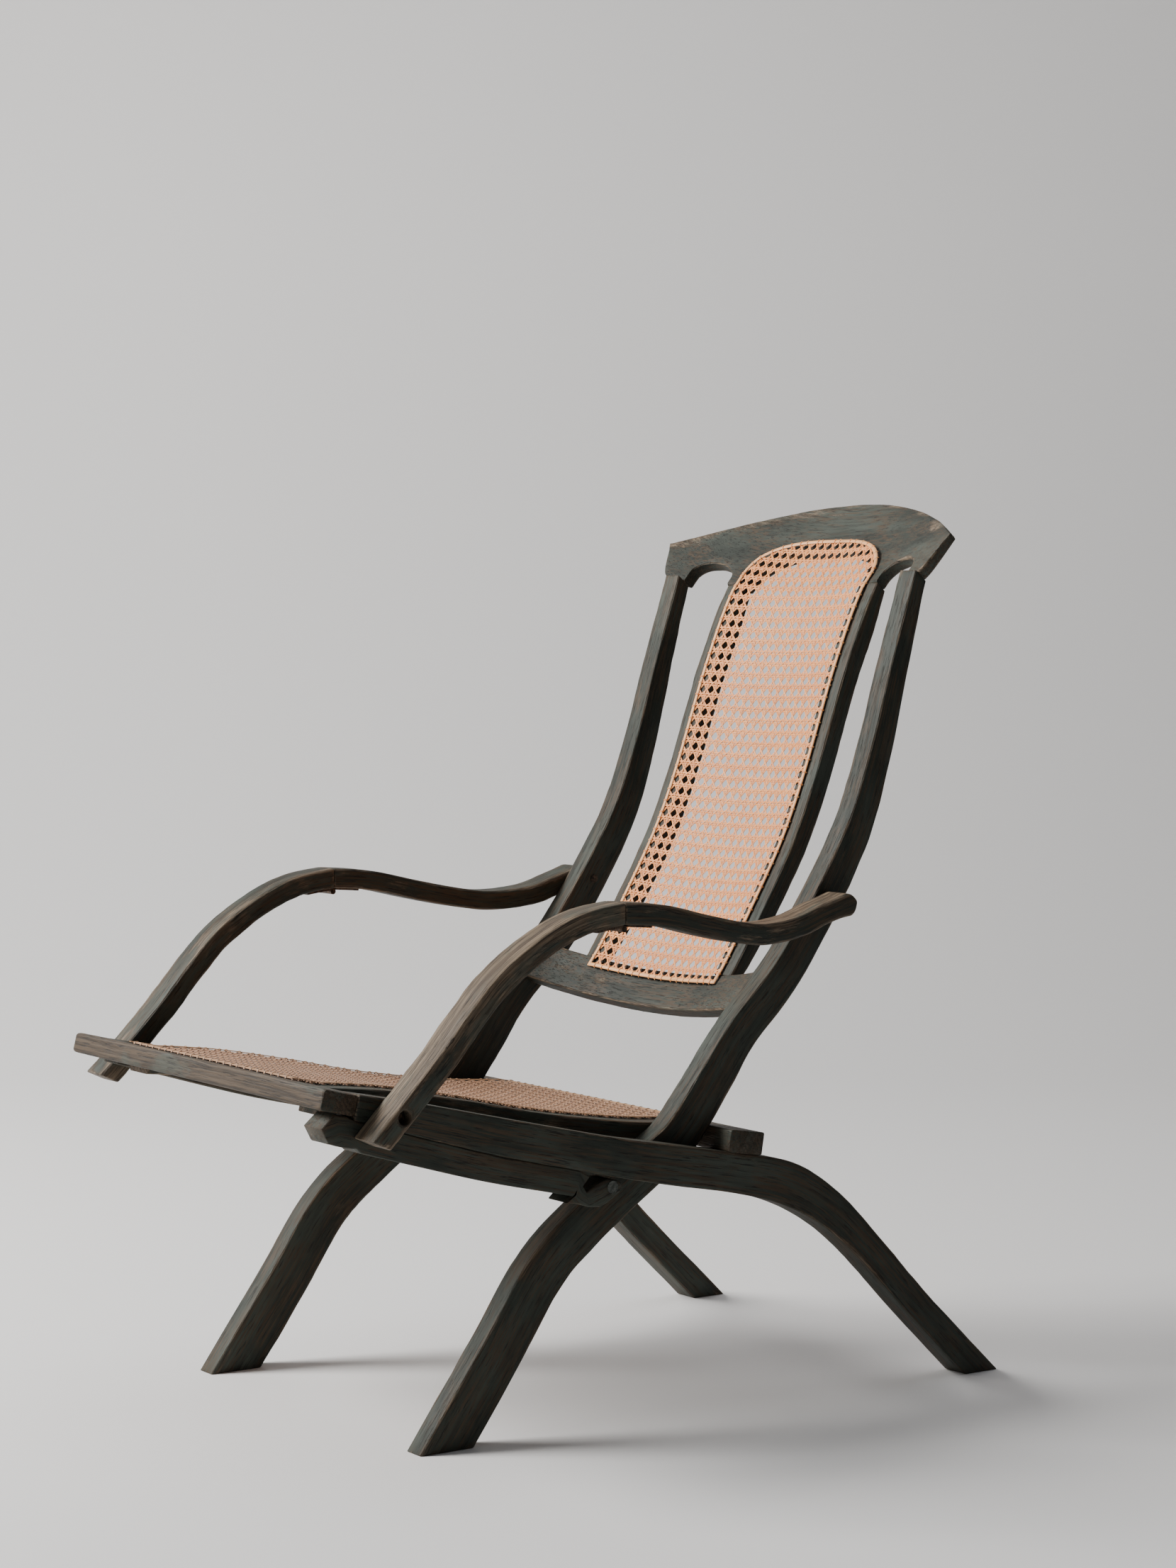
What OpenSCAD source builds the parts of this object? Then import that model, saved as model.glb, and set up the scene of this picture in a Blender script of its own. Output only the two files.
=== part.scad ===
// Folding cane lounge armchair.
// Two side frames cross on a pair of hidden pivots: the seat frame runs down into the rear legs,
// and the back frame runs down into the front legs. Each arm is a two-piece linkage that breaks
// at a knuckle hinge when the back is folded forward over the seat.
// +Z is up, the chair faces -Y, and the origin is on the floor under the middle of its outline.

/* [Overall widths] */
// Width over the two side rails
seat_w = 500; // [460:5:560]
// Thickness of each side rail, across the chair
rail_t = 32.6; // [28:0.2:36]
// Thickness of each back post, across the chair
post_t = 25.4; // [22:0.2:28]
// Width of each arm
arm_w = 35.6; // [30:0.2:42]
// Running gap between a side rail and the post beside it
side_gap = 1.4; // [0.6:0.1:2]
// Running gap between the arm and the frame beside it
arm_gap = 0.4; // [0.3:0.1:1]

/* [Seat frame] */
// Height of the main pivot above the floor
pivot_h = 252; // [240:1:265]
// Distance from the pivot forward to the front ends of the side rails
seat_reach = 360; // [340:1:380]
// Rise of the side rails from the pivot to their front ends
seat_lift = 86; // [76:1:96]
// Depth of the side rails at their front ends
rail_nose = 24; // [21:0.5:27]
// Depth of the side rails beside the seat
rail_depth = 37; // [34:0.5:40]
// Depth of the side rails where they turn down into the rear legs
knee_depth = 43; // [40:0.5:46]
// Depth of the rear legs
rear_leg_depth = 30; // [27:0.5:34]
// Distance from the pivot back to the line of the rear feet at the floor
rear_spread = 394; // [380:1:410]

/* [Seat] */
// Depth of the front rail, front to back
front_rail_d = 38; // [34:0.5:44]
// Thickness of the front rail
front_rail_t = 19.5; // [17:0.5:22]
// Depth of the rear rail, front to back
rear_rail_d = 42; // [36:0.5:48]
// Thickness of the rear rail
rear_rail_t = 21; // [18:0.5:24]
// Width of each seat side rail that carries the caning
seat_rail_w = 39; // [34:0.5:44]
// Depth of each seat side rail
seat_rail_t = 26; // [22:0.5:28]
// Gap between a post and the seat side rail beside it
seat_gap = 1.1; // [0.5:0.1:2]
// Thickness of the caning
cane_t = 1.6; // [1.2:0.1:2.4]
// Width of the binding cane that covers the holes
binder_w = 6; // [4:0.5:8]
// Thickness of the binding cane
binder_t = 1.2; // [0.8:0.1:1.6]
// Distance of the caning holes from the open edge of the frame
hole_inset = 11; // [9:0.5:13]
// Number of gaps across the seat net
seat_cols = 12; // [8:1:12]
// Number of gaps along the seat net
seat_rows = 16; // [10:1:16]

/* [Back] */
// Rise from the pivot to the tops of the back posts
back_rise = 568; // [540:2:590]
// Distance the post tops lie behind the pivot
back_lean = 333; // [320:1:345]
// Distance from the pivot forward to the line of the front feet at the floor
front_spread = 242; // [230:1:255]
// Depth of the posts in the front legs
front_leg_depth = 48; // [44:0.5:50]
// Depth of the posts at the pivot
post_depth = 42; // [39:0.5:44]
// Depth of the posts at their tops
post_tip = 17; // [15:0.5:20]
// Slope of the crest and lower rail from level
back_slope = 50; // [46:1:54]
// Thickness of the crest rail
crest_t = 14; // [13:0.5:20]
// Height of the crest rail above the post tops, along its slope, in the middle
crest_h = 137; // [128:1:148]
// Height of the crest rail's ears above the post tops, along its slope
ear_h = 54; // [48:1:60]
// Width over the crest rail's ears
crest_w = 480; // [470:2:494]
// How far the crest rail bows back across its width
crest_bow = 38.4; // [34:0.2:44]
// Distance between the outer edges of the two inner stiles
stile_span = 258; // [250:2:266]
// Width of each inner stile
stile_w = 29; // [25:0.5:33]
// Depth of each inner stile
stile_t = 20; // [17:0.5:22]
// Height of the lower back rail along its slope
lower_rail_h = 45; // [40:1:48]
// Thickness of the lower back rail
lower_rail_t = 14; // [12:0.5:16]
// How far the lower back rail bows back between the posts
lower_bow = 27; // [22:1:32]
// Rise of the lower back rail above the pivot, at its ends
lower_rail_rise = 141; // [134:1:148]
// Number of gaps across the back net
back_cols = 10; // [8:1:10]
// Number of gaps up the back net
back_rows = 22; // [14:1:22]

/* [Arms] */
// Depth of the arm sections, top to underside
arm_depth = 21; // [18:0.5:24]
// Rise of the knuckle hinge above the main pivot
knuckle_rise = 236.5; // [228:0.5:246]
// Distance of the knuckle hinge in front of the main pivot
knuckle_reach = 87; // [80:1:94]
// Rise of the arm's rear pivot above the main pivot
arm_pivot_rise = 242; // [236:1:248]
// Distance of the arm's front bolt behind the side rail's front end
arm_bolt_back = 29; // [26:1:34]
// Gap between the two butting arm ends
butt_gap = 0.4; // [0.3:0.1:1]

/* [Hardware] */
// Radius of the main pivot pins
pivot_r = 6; // [5:0.5:7]
// Radius of the arm bolts' shanks
bolt_r = 4; // [3:0.5:5]
// Radius of the arm bolts' heads
bolt_head_r = 6.7; // [6:0.1:7.5]
// Radius of the pins at the arms' rear pivots
arm_pin_r = 4.5; // [3.5:0.5:5.5]
// Radial clearance of a pin in its bore
fit = 0.06; // [0.03:0.01:0.09]
// Radius of the frame dowels
dowel_r = 4; // [3:0.5:5]
// Radius of the hinge barrels
barrel_r = 3.2; // [2.8:0.1:3.6]
// Radius of the hinge pins
hinge_pin_r = 1.6; // [1.2:0.1:2]
// Thickness of the hinge leaves
leaf_t = 2; // [1.5:0.1:2.4]
// Length of each hinge leaf along the arm
leaf_l = 32; // [24:1:40]

/* [Batten] */
// Height of the glued batten under the right side rail
batten_h = 27; // [22:1:30]
// Radius of the peg through the batten's tail
peg_r = 6; // [4:0.5:7]

/* [Hidden] */

$fn = 48;
steps = 5;
contact = 0.3;

paint = "#5d6a63";
bare = "#8d7f6c";
cane = "#d9b98c";
iron = "#4b4038";

// Layers across the chair, measured from the middle
rail_out = seat_w / 2;
rail_in = rail_out - rail_t;
post_out = rail_in - side_gap;
post_in = post_out - post_t;
seat_rail_out = post_in - seat_gap;
seat_rail_in = seat_rail_out - seat_rail_w;
arm_in = rail_out + arm_gap;
arm_rear_in = post_out + arm_gap;

// Smooth curve through a row of knots; a knot may carry a depth as its third value
function hermite(a, b, c, d, t) = 0.5 * (2 * b + (c - a) * t
    + (2 * a - 5 * b + 4 * c - d) * t * t + (3 * b - a - 3 * c + d) * t * t * t);
function smooth(k, n = steps) = let (m = len(k) - 1) [
    for (i = [0:m - 1]) for (j = [0:n - 1])
        hermite(k[max(i - 1, 0)], k[i], k[i + 1], k[min(i + 2, m)], j / n),
    k[m]];
function flat(p) = [p[0], p[1]];
function unit(v) = v / norm(v);
function tangent(p, i) = unit(flat(p[min(i + 1, len(p) - 1)]) - flat(p[max(i - 1, 0)]));
function side(p, i, s) = let (t = tangent(p, i)) flat(p[i]) + s * [t[1], -t[0]];
// Outline of a curved member whose centre line is p, with its depth in each knot
function band(p) = concat(
    [for (i = [0:len(p) - 1]) side(p, i, -p[i][2] / 2)],
    [for (i = [len(p) - 1:-1:0]) side(p, i, p[i][2] / 2)]);
// Outline of a curved member whose front or top face is p
function face_band(p) = concat(
    [for (i = [0:len(p) - 1]) flat(p[i])],
    [for (i = [len(p) - 1:-1:0]) side(p, i, p[i][2])]);
function flip(k) = [for (p = k) [p[1], p[0]]];
function y_at(p, z) = lookup(z, flip(p));
function z_at(p, y) = lookup(y, [for (q = p) flat(q)]);

// Main pivot in the side view
pivot = [-51, pivot_h];
function from_pivot(y, z, d) = [pivot[0] + y, pivot[1] + z, d];

// Centre line of a side rail, from its front end over the knee to the rear foot
rail_knots = [
    from_pivot(-seat_reach, seat_lift, rail_nose),
    from_pivot(-0.82 * seat_reach, 0.81 * seat_lift, rail_nose + 6),
    from_pivot(-0.58 * seat_reach, 0.545 * seat_lift, rail_depth - 2),
    from_pivot(-0.36 * seat_reach, 0.325 * seat_lift, rail_depth - 1),
    from_pivot(-0.18 * seat_reach, 0.15 * seat_lift, rail_depth),
    from_pivot(0, 0, rail_depth + 2),
    from_pivot(0.185 * rear_spread, -0.056 * pivot_h, rail_depth + 2),
    from_pivot(0.348 * rear_spread, -0.12 * pivot_h, knee_depth),
    from_pivot(0.485 * rear_spread, -0.238 * pivot_h, knee_depth - 5),
    from_pivot(0.612 * rear_spread, -0.409 * pivot_h, rear_leg_depth + 1.5),
    from_pivot(0.774 * rear_spread, -0.663 * pivot_h, rear_leg_depth),
    from_pivot(0.96 * rear_spread, -0.937 * pivot_h, rear_leg_depth),
    from_pivot(1.03 * rear_spread, -1.04 * pivot_h, rear_leg_depth)];
rail_line = smooth(rail_knots);
rail_outline = band(rail_line);
rail_top = [for (i = [0:len(rail_line) - 1]) side(rail_line, i, -rail_line[i][2] / 2)];
rail_bottom = [for (i = [0:len(rail_line) - 1]) side(rail_line, i, rail_line[i][2] / 2)];
nose_dir = tangent(rail_line, 0);
nose_tilt = atan2(nose_dir[1], nose_dir[0]);
nose = flat(rail_line[0]);

// Centre line of a back post, from the front foot through the pivot to the crest
post_knots = [
    from_pivot(-front_spread - 8, -1.045 * pivot_h, front_leg_depth),
    from_pivot(-0.748 * front_spread, -0.67 * pivot_h, front_leg_depth),
    from_pivot(-0.541 * front_spread, -0.385 * pivot_h, front_leg_depth - 1),
    from_pivot(-0.33 * front_spread, -0.21 * pivot_h, front_leg_depth - 2),
    from_pivot(0, 0, post_depth),
    from_pivot(0.102 * back_lean, 0.044 * back_rise, post_depth + 1),
    from_pivot(0.231 * back_lean, 0.139 * back_rise, post_depth - 1),
    from_pivot(0.324 * back_lean, 0.21 * back_rise, post_depth - 4),
    from_pivot(0.517 * back_lean, 0.3275 * back_rise, post_depth - 5),
    from_pivot(0.745 * back_lean, 0.532 * back_rise, post_depth - 9),
    from_pivot(0.847 * back_lean, 0.687 * back_rise, post_depth - 14),
    from_pivot(0.92 * back_lean, 0.84 * back_rise, post_tip + 6),
    from_pivot(back_lean, back_rise, post_tip),
    from_pivot(back_lean + 4, back_rise + 14, post_tip)];
post_line = smooth(post_knots);
post_front = [for (i = [0:len(post_line) - 1]) side(post_line, i, -post_line[i][2] / 2)];
post_rear = [for (i = [0:len(post_line) - 1]) side(post_line, i, post_line[i][2] / 2)];
post_top = post_front[len(post_front) - 1 - steps];

// Top face of the seat, from the front rail back to the rear rail
seat_start = nose + 0.5 * rail_nose * [-nose_dir[1], nose_dir[0]];
seat_knots = [
    [seat_start[0] - 1, seat_start[1] - 0.5, seat_rail_t],
    from_pivot(-0.785 * seat_reach, seat_lift + 2, seat_rail_t),
    from_pivot(-0.555 * seat_reach, seat_lift - 14, seat_rail_t),
    from_pivot(-0.33 * seat_reach, seat_lift - 32, seat_rail_t),
    from_pivot(-0.136 * seat_reach, seat_lift - 44, seat_rail_t),
    from_pivot(11, seat_lift - 52, seat_rail_t),
    from_pivot(72, seat_lift - 56.5, seat_rail_t)];
seat_line = smooth(seat_knots);

// Rear rail: its top front arris stops the backs of the posts
rear_rail_tilt = -9;
rear_rail_z = z_at(seat_line, pivot[0] + 71);
rear_rail_y = y_at(post_rear, rear_rail_z) + contact + 0.4;

// Crest rail and lower rail lie on a slope; a is along it, b is square to it and backward
slope_a = [cos(back_slope), sin(back_slope)];
slope_b = [sin(back_slope), -cos(back_slope)];
crest_r = (pow(crest_w / 2, 2) + pow(crest_bow, 2)) / (2 * crest_bow);
post_mid = (post_in + post_out) / 2;
lower_r = (pow(post_in, 2) + pow(lower_bow, 2)) / (2 * lower_bow);
function sag(r, x) = r - sqrt(r * r - x * x);
// Depth of the crest face behind the post tops at x
function crest_back(x) = 2 + sag(crest_r, post_mid) - sag(crest_r, x);
joint_s = 9;
tenon_t = 6;
stile_s = 14;
slot_s = 40;
arch_s = 67;
stile_out = stile_span / 2;
stile_in = stile_out - stile_w;
stile_mid = (stile_in + stile_out) / 2;
lower_end = [y_at(post_front, pivot_h + lower_rail_rise) + 13, pivot_h + lower_rail_rise];
function lower_back(x) = sag(lower_r, post_in) - sag(lower_r, x);
function crest_top(x) = let (u = pow(2 * x / crest_w, 2))
    crest_h - (crest_h - ear_h + 6) * u + 6 * u * u;

// Front face of the inner stiles, from the lower rail up to the crest
stile_foot = lower_end + lower_rail_h * slope_a + lower_back(stile_mid) * slope_b;
stile_head = post_top + stile_s * slope_a + crest_back(stile_mid) * slope_b;
function stile_knot(z, gap, d) = [y_at(post_front, z) + gap, z, d];
stile_knots = [
    [stile_foot[0] - 20 * slope_a[0], stile_foot[1] - 20 * slope_a[1], lower_rail_t],
    [stile_foot[0], stile_foot[1], lower_rail_t],
    stile_knot(stile_foot[1] + 44, 20, stile_t - 3),
    stile_knot(stile_foot[1] + 130, 12, stile_t),
    stile_knot(stile_foot[1] + 205, 9, stile_t),
    stile_knot(stile_foot[1] + 300, 12, stile_t),
    stile_knot(stile_head[1] - 40, 18, stile_t),
    [stile_head[0], stile_head[1], crest_t],
    [stile_head[0] + 20 * slope_a[0], stile_head[1] + 20 * slope_a[1], crest_t]];
stile_line = smooth(stile_knots);

// Arm pivots in the side view
knuckle = [pivot[0] - knuckle_reach, pivot[1] + knuckle_rise];
arm_z = knuckle[1] + barrel_r + 0.3 + arm_depth / 2;
rear_pin_z = pivot[1] + arm_pivot_rise;
rear_pin = [y_at(post_line, rear_pin_z), rear_pin_z];
bolt_y = nose[0] + arm_bolt_back;
bolt = [bolt_y, z_at(rail_line, bolt_y)];
function arm_knot(a, y, z) = [a[0] + y, a[1] + z, arm_depth];
front_arm_knots = [
    arm_knot(bolt, -26.5, -26.5), arm_knot(bolt, 0, 0), arm_knot(bolt, 42, 43),
    arm_knot(bolt, 79, 85), arm_knot([knuckle[0], arm_z], -133, -55),
    arm_knot([knuckle[0], arm_z], -89, -26), arm_knot([knuckle[0], arm_z], -45, -7),
    arm_knot([knuckle[0], arm_z], 6, 1)];
// The foot's end is sawn at a slope from its front corner
foot_corner = bolt + [-26.5 - 0.35 * arm_depth, -26.5 + 0.35 * arm_depth];
foot_slope = -25;
rear_arm_knots = [
    arm_knot([knuckle[0], arm_z], -6, 0.5), arm_knot([knuckle[0], arm_z], 46, -4),
    arm_knot([knuckle[0], arm_z], 102, -16.5), arm_knot([knuckle[0], arm_z], 149, -26),
    arm_knot(rear_pin, -111, -22), arm_knot(rear_pin, -64, -18),
    arm_knot(rear_pin, -28, -7), arm_knot(rear_pin, 0, 1)];
arm_taper = arm_in - arm_rear_in;
// Plan of the rear section: it sweeps inward so that it runs in beside the post
arm_sweep = smooth([[0, knuckle[0] - 20], [0, knuckle[0] + 15], [-0.09, knuckle[0] + 70],
    [-0.85, rear_pin[0] - 80], [-1, rear_pin[0] - 36], [-1, rear_pin[0] + 40]]);
front_arm_line = smooth(front_arm_knots);
rear_arm_line = smooth(rear_arm_knots);
function underside(p) = [for (i = [0:len(p) - 1]) side(p, i, p[i][2] / 2)];
// Slope of each hinge leaf, taken from the underside it is let into
function leaf_slope(p, y0, y1) = atan((z_at(underside(p), y1) - z_at(underside(p), y0)) / (y1 - y0));
front_leaf_slope = leaf_slope(front_arm_line, knuckle[0] - leaf_l, knuckle[0]);
rear_leaf_slope = leaf_slope(rear_arm_line, knuckle[0], knuckle[0] + leaf_l);
leaf_in = 0.8;

// Foremost and rearmost points of the outline, which set the middle of the part
front_edge = nose[0] - (front_rail_d - 3) * nose_dir[0] - (rail_nose / 2 - front_rail_t + 3) * nose_dir[1] - 3;
crest_peak = post_top + crest_h * slope_a + (crest_back(0) + crest_t) * slope_b;
y_mid = -(front_edge + crest_peak[0]) / 2;

// Solid of a side-view outline between two distances across the chair
module across(x0, x1) {
    translate([x0, 0, 0]) rotate([90, 0, 90]) linear_extrude(x1 - x0) children();
}
module bar(p, x0, x1) { across(x0, x1) polygon(p); }
module rod(p, r, x0, x1) { translate([x0, p[0], p[1]]) rotate([0, 90, 0]) cylinder(r = r, h = x1 - x0); }
module set_in_place() { translate([0, y_mid, 0]) children(); }
module both_sides() { children(); mirror([1, 0, 0]) children(); }
module above_floor() {
    difference() {
        children();
        translate([-rail_out - 60, -600, -80]) cube([2 * rail_out + 120, 1200, 80]);
    }
}
// Section with rounded corners, w by h, its corner radius r
function corner(c, r, a) = [for (i = [0:4]) c + r * [cos(a + 22.5 * i), sin(a + 22.5 * i)]];
function rounded(x0, y0, x1, y1, r) = concat(
    corner([x1 - r, y1 - r], r, 0), corner([x0 + r, y1 - r], r, 90),
    corner([x0 + r, y0 + r], r, 180), corner([x1 - r, y0 + r], r, 270));

// Seat frame
module nose_frame() { translate([0, nose[0], nose[1]]) rotate([nose_tilt, 0, 0]) children(); }
module dowel_at(x, r) {
    nose_frame() translate([x, -front_rail_d + 12, 0]) rotate([-90, 0, 0]) cylinder(r = r, h = front_rail_d + 4);
}
module side_rail() {
    color(paint) set_in_place() above_floor() difference() {
        bar(rail_outline, rail_in, rail_out);
        rod(pivot, pivot_r + fit, rail_in - 1, rail_out - 10);
        rod(bolt, bolt_r + fit, rail_in + 6, rail_out + 1);
        dowel_at(rail_in + rail_t / 2, dowel_r + fit);
    }
}
module front_rail_body() {
    nose_frame() across(-rail_out, rail_out)
        polygon(rounded(-front_rail_d, rail_nose / 2 - front_rail_t, 0, rail_nose / 2, 3));
}
module seat_front_rail() {
    color(bare) set_in_place() difference() {
        front_rail_body();
        both_sides() {
            dowel_at(rail_in + rail_t / 2, dowel_r + fit);
            dowel_at(seat_rail_in + seat_rail_w / 2, dowel_r + fit);
        }
    }
}
module rear_rail_body(x) {
    translate([0, rear_rail_y, rear_rail_z]) rotate([rear_rail_tilt, 0, 0]) across(-x, x)
        polygon(rounded(0, -rear_rail_t - 2, rear_rail_d, 0, 2));
}
module seat_rear_rail() {
    color(bare) set_in_place() difference() {
        rear_rail_body(rail_out);
        both_sides() bar(rail_outline, rail_in - 0.01, rail_out + 1);
        both_sides() translate([post_in - seat_gap, pivot[0], pivot[1] - 60]) cube([post_t + seat_gap + side_gap, 71, 60 + 10]);
    }
}
module seat_side_rail() {
    color(paint) set_in_place() difference() {
        bar(face_band(seat_line), seat_rail_in, seat_rail_out);
        nose_frame() translate([0, -60, -60]) cube([rail_out, 60, 120]);
        translate([0, rear_rail_y, rear_rail_z]) rotate([rear_rail_tilt, 0, 0])
            translate([0, 0, -60]) cube([rail_out, 120, 120]);
        dowel_at(seat_rail_in + seat_rail_w / 2, dowel_r + fit);
    }
}
module frame_dowels() {
    color(bare) set_in_place() both_sides() {
        dowel_at(rail_in + rail_t / 2, dowel_r);
        dowel_at(seat_rail_in + seat_rail_w / 2, dowel_r);
    }
}
module pivot_pins() {
    color(iron) set_in_place() both_sides() rod(pivot, pivot_r, post_in + 5.5, rail_out - 10.5);
}
module arm_bolts() {
    color(iron) set_in_place() both_sides() {
        rod(bolt, bolt_r, rail_in + 6.5, arm_in + arm_w - 12);
        rod(bolt, bolt_head_r, arm_in + arm_w - 19, arm_in + arm_w - 12);
    }
}

module net(pts, nu, nv, t) {
    // pts is a grid of [point, normal]; odd cells along both ways are left open
    top = [for (i = [0:nu]) for (j = [0:nv]) pts[i][j][0] + t * pts[i][j][1]];
    low = [for (i = [0:nu]) for (j = [0:nv]) pts[i][j][0]];
    half = (nu + 1) * (nv + 1);
    function id(i, j) = i * (nv + 1) + j;
    function open(i, j) = i >= 0 && j >= 0 && i < nu && j < nv && i % 2 == 1 && j % 2 == 1;
    function full(i, j) = i >= 0 && j >= 0 && i < nu && j < nv && !open(i, j);
    faces = [
        for (i = [0:nu - 1]) for (j = [0:nv - 1]) if (full(i, j)) each [
            [id(i, j), id(i, j + 1), id(i + 1, j + 1)], [id(i, j), id(i + 1, j + 1), id(i + 1, j)],
            [half + id(i, j), half + id(i + 1, j + 1), half + id(i, j + 1)],
            [half + id(i, j), half + id(i + 1, j), half + id(i + 1, j + 1)]],
        for (i = [0:nu]) for (j = [0:nv - 1]) if (full(i, j) != full(i - 1, j))
            each full(i, j)
                ? [[id(i, j), half + id(i, j), half + id(i, j + 1)], [id(i, j), half + id(i, j + 1), id(i, j + 1)]]
                : [[id(i, j), half + id(i, j + 1), half + id(i, j)], [id(i, j), id(i, j + 1), half + id(i, j + 1)]],
        for (i = [0:nu - 1]) for (j = [0:nv]) if (full(i, j) != full(i, j - 1))
            each full(i, j)
                ? [[id(i, j), half + id(i + 1, j), half + id(i, j)], [id(i, j), id(i + 1, j), half + id(i + 1, j)]]
                : [[id(i, j), half + id(i, j), half + id(i + 1, j)], [id(i, j), half + id(i + 1, j), id(i + 1, j)]]];
    polyhedron(concat(low, top), faces, convexity = 8);
}
// Places of the net's lines as a share of its width: bars of width b of the pitch, gaps between
function net_place(i, m, b) = (floor(i / 2) + (i % 2) * b) / (m + b);
net_bar = 0.42;

// Seat caning: a net that dips a little in the middle
seat_sheet_y0 = nose[0] - hole_inset - 4;
seat_sheet_y1 = rear_rail_y + hole_inset + 8;
seat_sheet_x = seat_rail_in + hole_inset + 2;
seat_dip = 5;
seat_top = concat(
    [[front_edge, seat_start[1] - (nose[0] - front_edge) * nose_dir[1] / nose_dir[0]]],
    [for (p = seat_line) if (p[0] > seat_start[0] && p[0] < rear_rail_y - 4) flat(p)],
    [[rear_rail_y, rear_rail_z],
     [rear_rail_y + rear_rail_d, rear_rail_z + rear_rail_d * tan(rear_rail_tilt)]]);
function seat_dip_at(x, y) = let (
    u = 1 - pow(x / seat_rail_in, 2),
    a = nose[0] + 6, b = rear_rail_y - 6, v = 1 - pow((2 * y - a - b) / (b - a), 2))
    u > 0 && v > 0 ? -seat_dip * u * v : 0;
function seat_point(u, v) = let (
    x = seat_sheet_x * (2 * u - 1), y = seat_sheet_y0 + v * (seat_sheet_y1 - seat_sheet_y0))
    [[x, y, z_at(seat_top, y) + contact + seat_dip_at(x, y)], [0, 0, 1]];
module seat_cane() {
    nu = 2 * seat_cols + 1;
    nv = 2 * seat_rows + 1;
    color(cane) set_in_place() net([for (i = [0:nu]) [for (j = [0:nv])
        seat_point(net_place(i, seat_cols, net_bar), net_place(j, seat_rows, net_bar))]], nu, nv, cane_t);
}
module seat_binder() {
    lift = contact + cane_t + 0.1;
    line = [for (i = [0:28]) let (y = seat_sheet_y0 + i / 28 * (seat_sheet_y1 - seat_sheet_y0))
        [y, z_at(seat_top, y) + lift]];
    path = concat(line, [for (i = [28:-1:0]) [line[i][0], line[i][1] + binder_t]]);
    color(cane) set_in_place() {
        both_sides() bar(path, seat_sheet_x - binder_w - 1, seat_sheet_x - 1);
        bar(concat([line[0], line[1]], [[line[1][0], line[1][1] + binder_t], [line[0][0], line[0][1] + binder_t]]),
            -seat_sheet_x + 1, seat_sheet_x - 1);
        bar(concat([line[27], line[28]], [[line[28][0], line[28][1] + binder_t], [line[27][0], line[27][1] + binder_t]]),
            -seat_sheet_x + 1, seat_sheet_x - 1);
    }
}

// Batten glued under the right side rail, with a hooked tail and a peg
batten_y0 = pivot[0] - 397;
batten_y1 = pivot[0] - 64;
batten_peg_at = [pivot[0] - 77, pivot[1] - 13];
batten_upper = [for (p = rail_bottom) if (p[0] > nose[0] + 3 && p[0] < batten_y1 - 38) p];
batten_lower = [for (p = batten_upper) [p[0] - 6, p[1] - batten_h * (0.86 + 0.14 * (batten_y1 - p[0]) / 340)]];
batten_points = concat(
    [nose + [1, -rail_nose / 2 - 1], nose + [-22, -rail_nose / 2 + 4], nose + [-37, -rail_nose / 2 - 4],
     nose + [-29, -rail_nose / 2 - 19], nose + [-14, -rail_nose / 2 - 23]],
    batten_lower,
    [batten_peg_at + [-14, -18], batten_peg_at + [-6, -15], batten_peg_at + [13, -3],
     batten_peg_at + [10, 4], batten_peg_at + [0, 7.5], batten_peg_at + [-6, 7.5]],
    [batten_peg_at + [-15, 5], batten_peg_at + [-30, -2], batten_peg_at + [-34, 5]],
    [for (i = [len(batten_upper) - 1:-1:0]) batten_upper[i]]);
module batten_body() {
    difference() {
        bar(batten_points, rail_in, rail_out);
        bar(rail_outline, rail_in - 1, rail_out + 1);
        front_rail_body();
    }
}
module rail_batten() {
    color(paint) set_in_place() difference() {
        batten_body();
        rod(batten_peg_at, peg_r + fit, rail_in - 1, rail_out + 1);
    }
}
module batten_peg() {
    color(paint) set_in_place() rod(batten_peg_at, peg_r, rail_in + 0.5, rail_out + 1.2);
}

// Back frame
module post() {
    color(paint) set_in_place() above_floor() difference() {
        bar(band(post_line), post_in, post_out);
        rod(pivot, pivot_r + fit, post_in + 5, post_out + 1);
        rod(rear_pin, arm_pin_r + fit, post_in - 1, post_out + 1);
        crest_space();
        tenon(fit);
        lower_tenon(fit);
    }
}
// Frame of the sloping back rails: X across, Y up the slope, Z backward and square to the slope
module slope_frame(p) {
    translate([0, p[0], p[1]]) rotate([back_slope, 0, 0]) mirror([0, 0, 1]) children();
}
module bowed(r, depth, s0, s1, back) {
    // Board bent to radius r with its hollow face forward, from s0 to s1 up the slope
    translate([0, s1, back - r]) rotate([90, 0, 0]) rotate([0, 0, 60])
        rotate_extrude(angle = 60, $fn = 180) translate([r, 0]) square([depth, s1 - s0]);
}
module crest_space() {
    slope_frame(post_top) translate([-rail_out, joint_s, -80]) cube([2 * rail_out, 120, 160]);
}
crest_half = crest_w / 2;
function crest_outline_half() = concat(
    [for (i = [0:16]) let (x = crest_half * i / 16) [x, crest_top(x)]],
    smooth([[crest_half - 2, ear_h - 7], [crest_half - 5, ear_h - 13], [crest_half - 10.5, ear_h - 27],
        [crest_half - 17, ear_h - 39.5], [post_out, joint_s]], 3),
    [[post_in, joint_s], [post_in, slot_s - 22]],
    [for (a = [0:15:180]) [
        (post_in + stile_out) / 2 + (post_in - stile_out) / 2 * cos(a),
        slot_s - 20 + 20 * sin(a)]],
    [[stile_out, stile_s], [stile_in, stile_s]],
    [for (a = [0:9:90]) [stile_in * pow(cos(a), 0.75), stile_s + (arch_s - stile_s) * sin(a)]]);
module crest_outline() {
    h = crest_outline_half();
    polygon(concat(h, [for (i = [len(h) - 2:-1:1]) [-h[i][0], h[i][1]]]));
}
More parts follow.
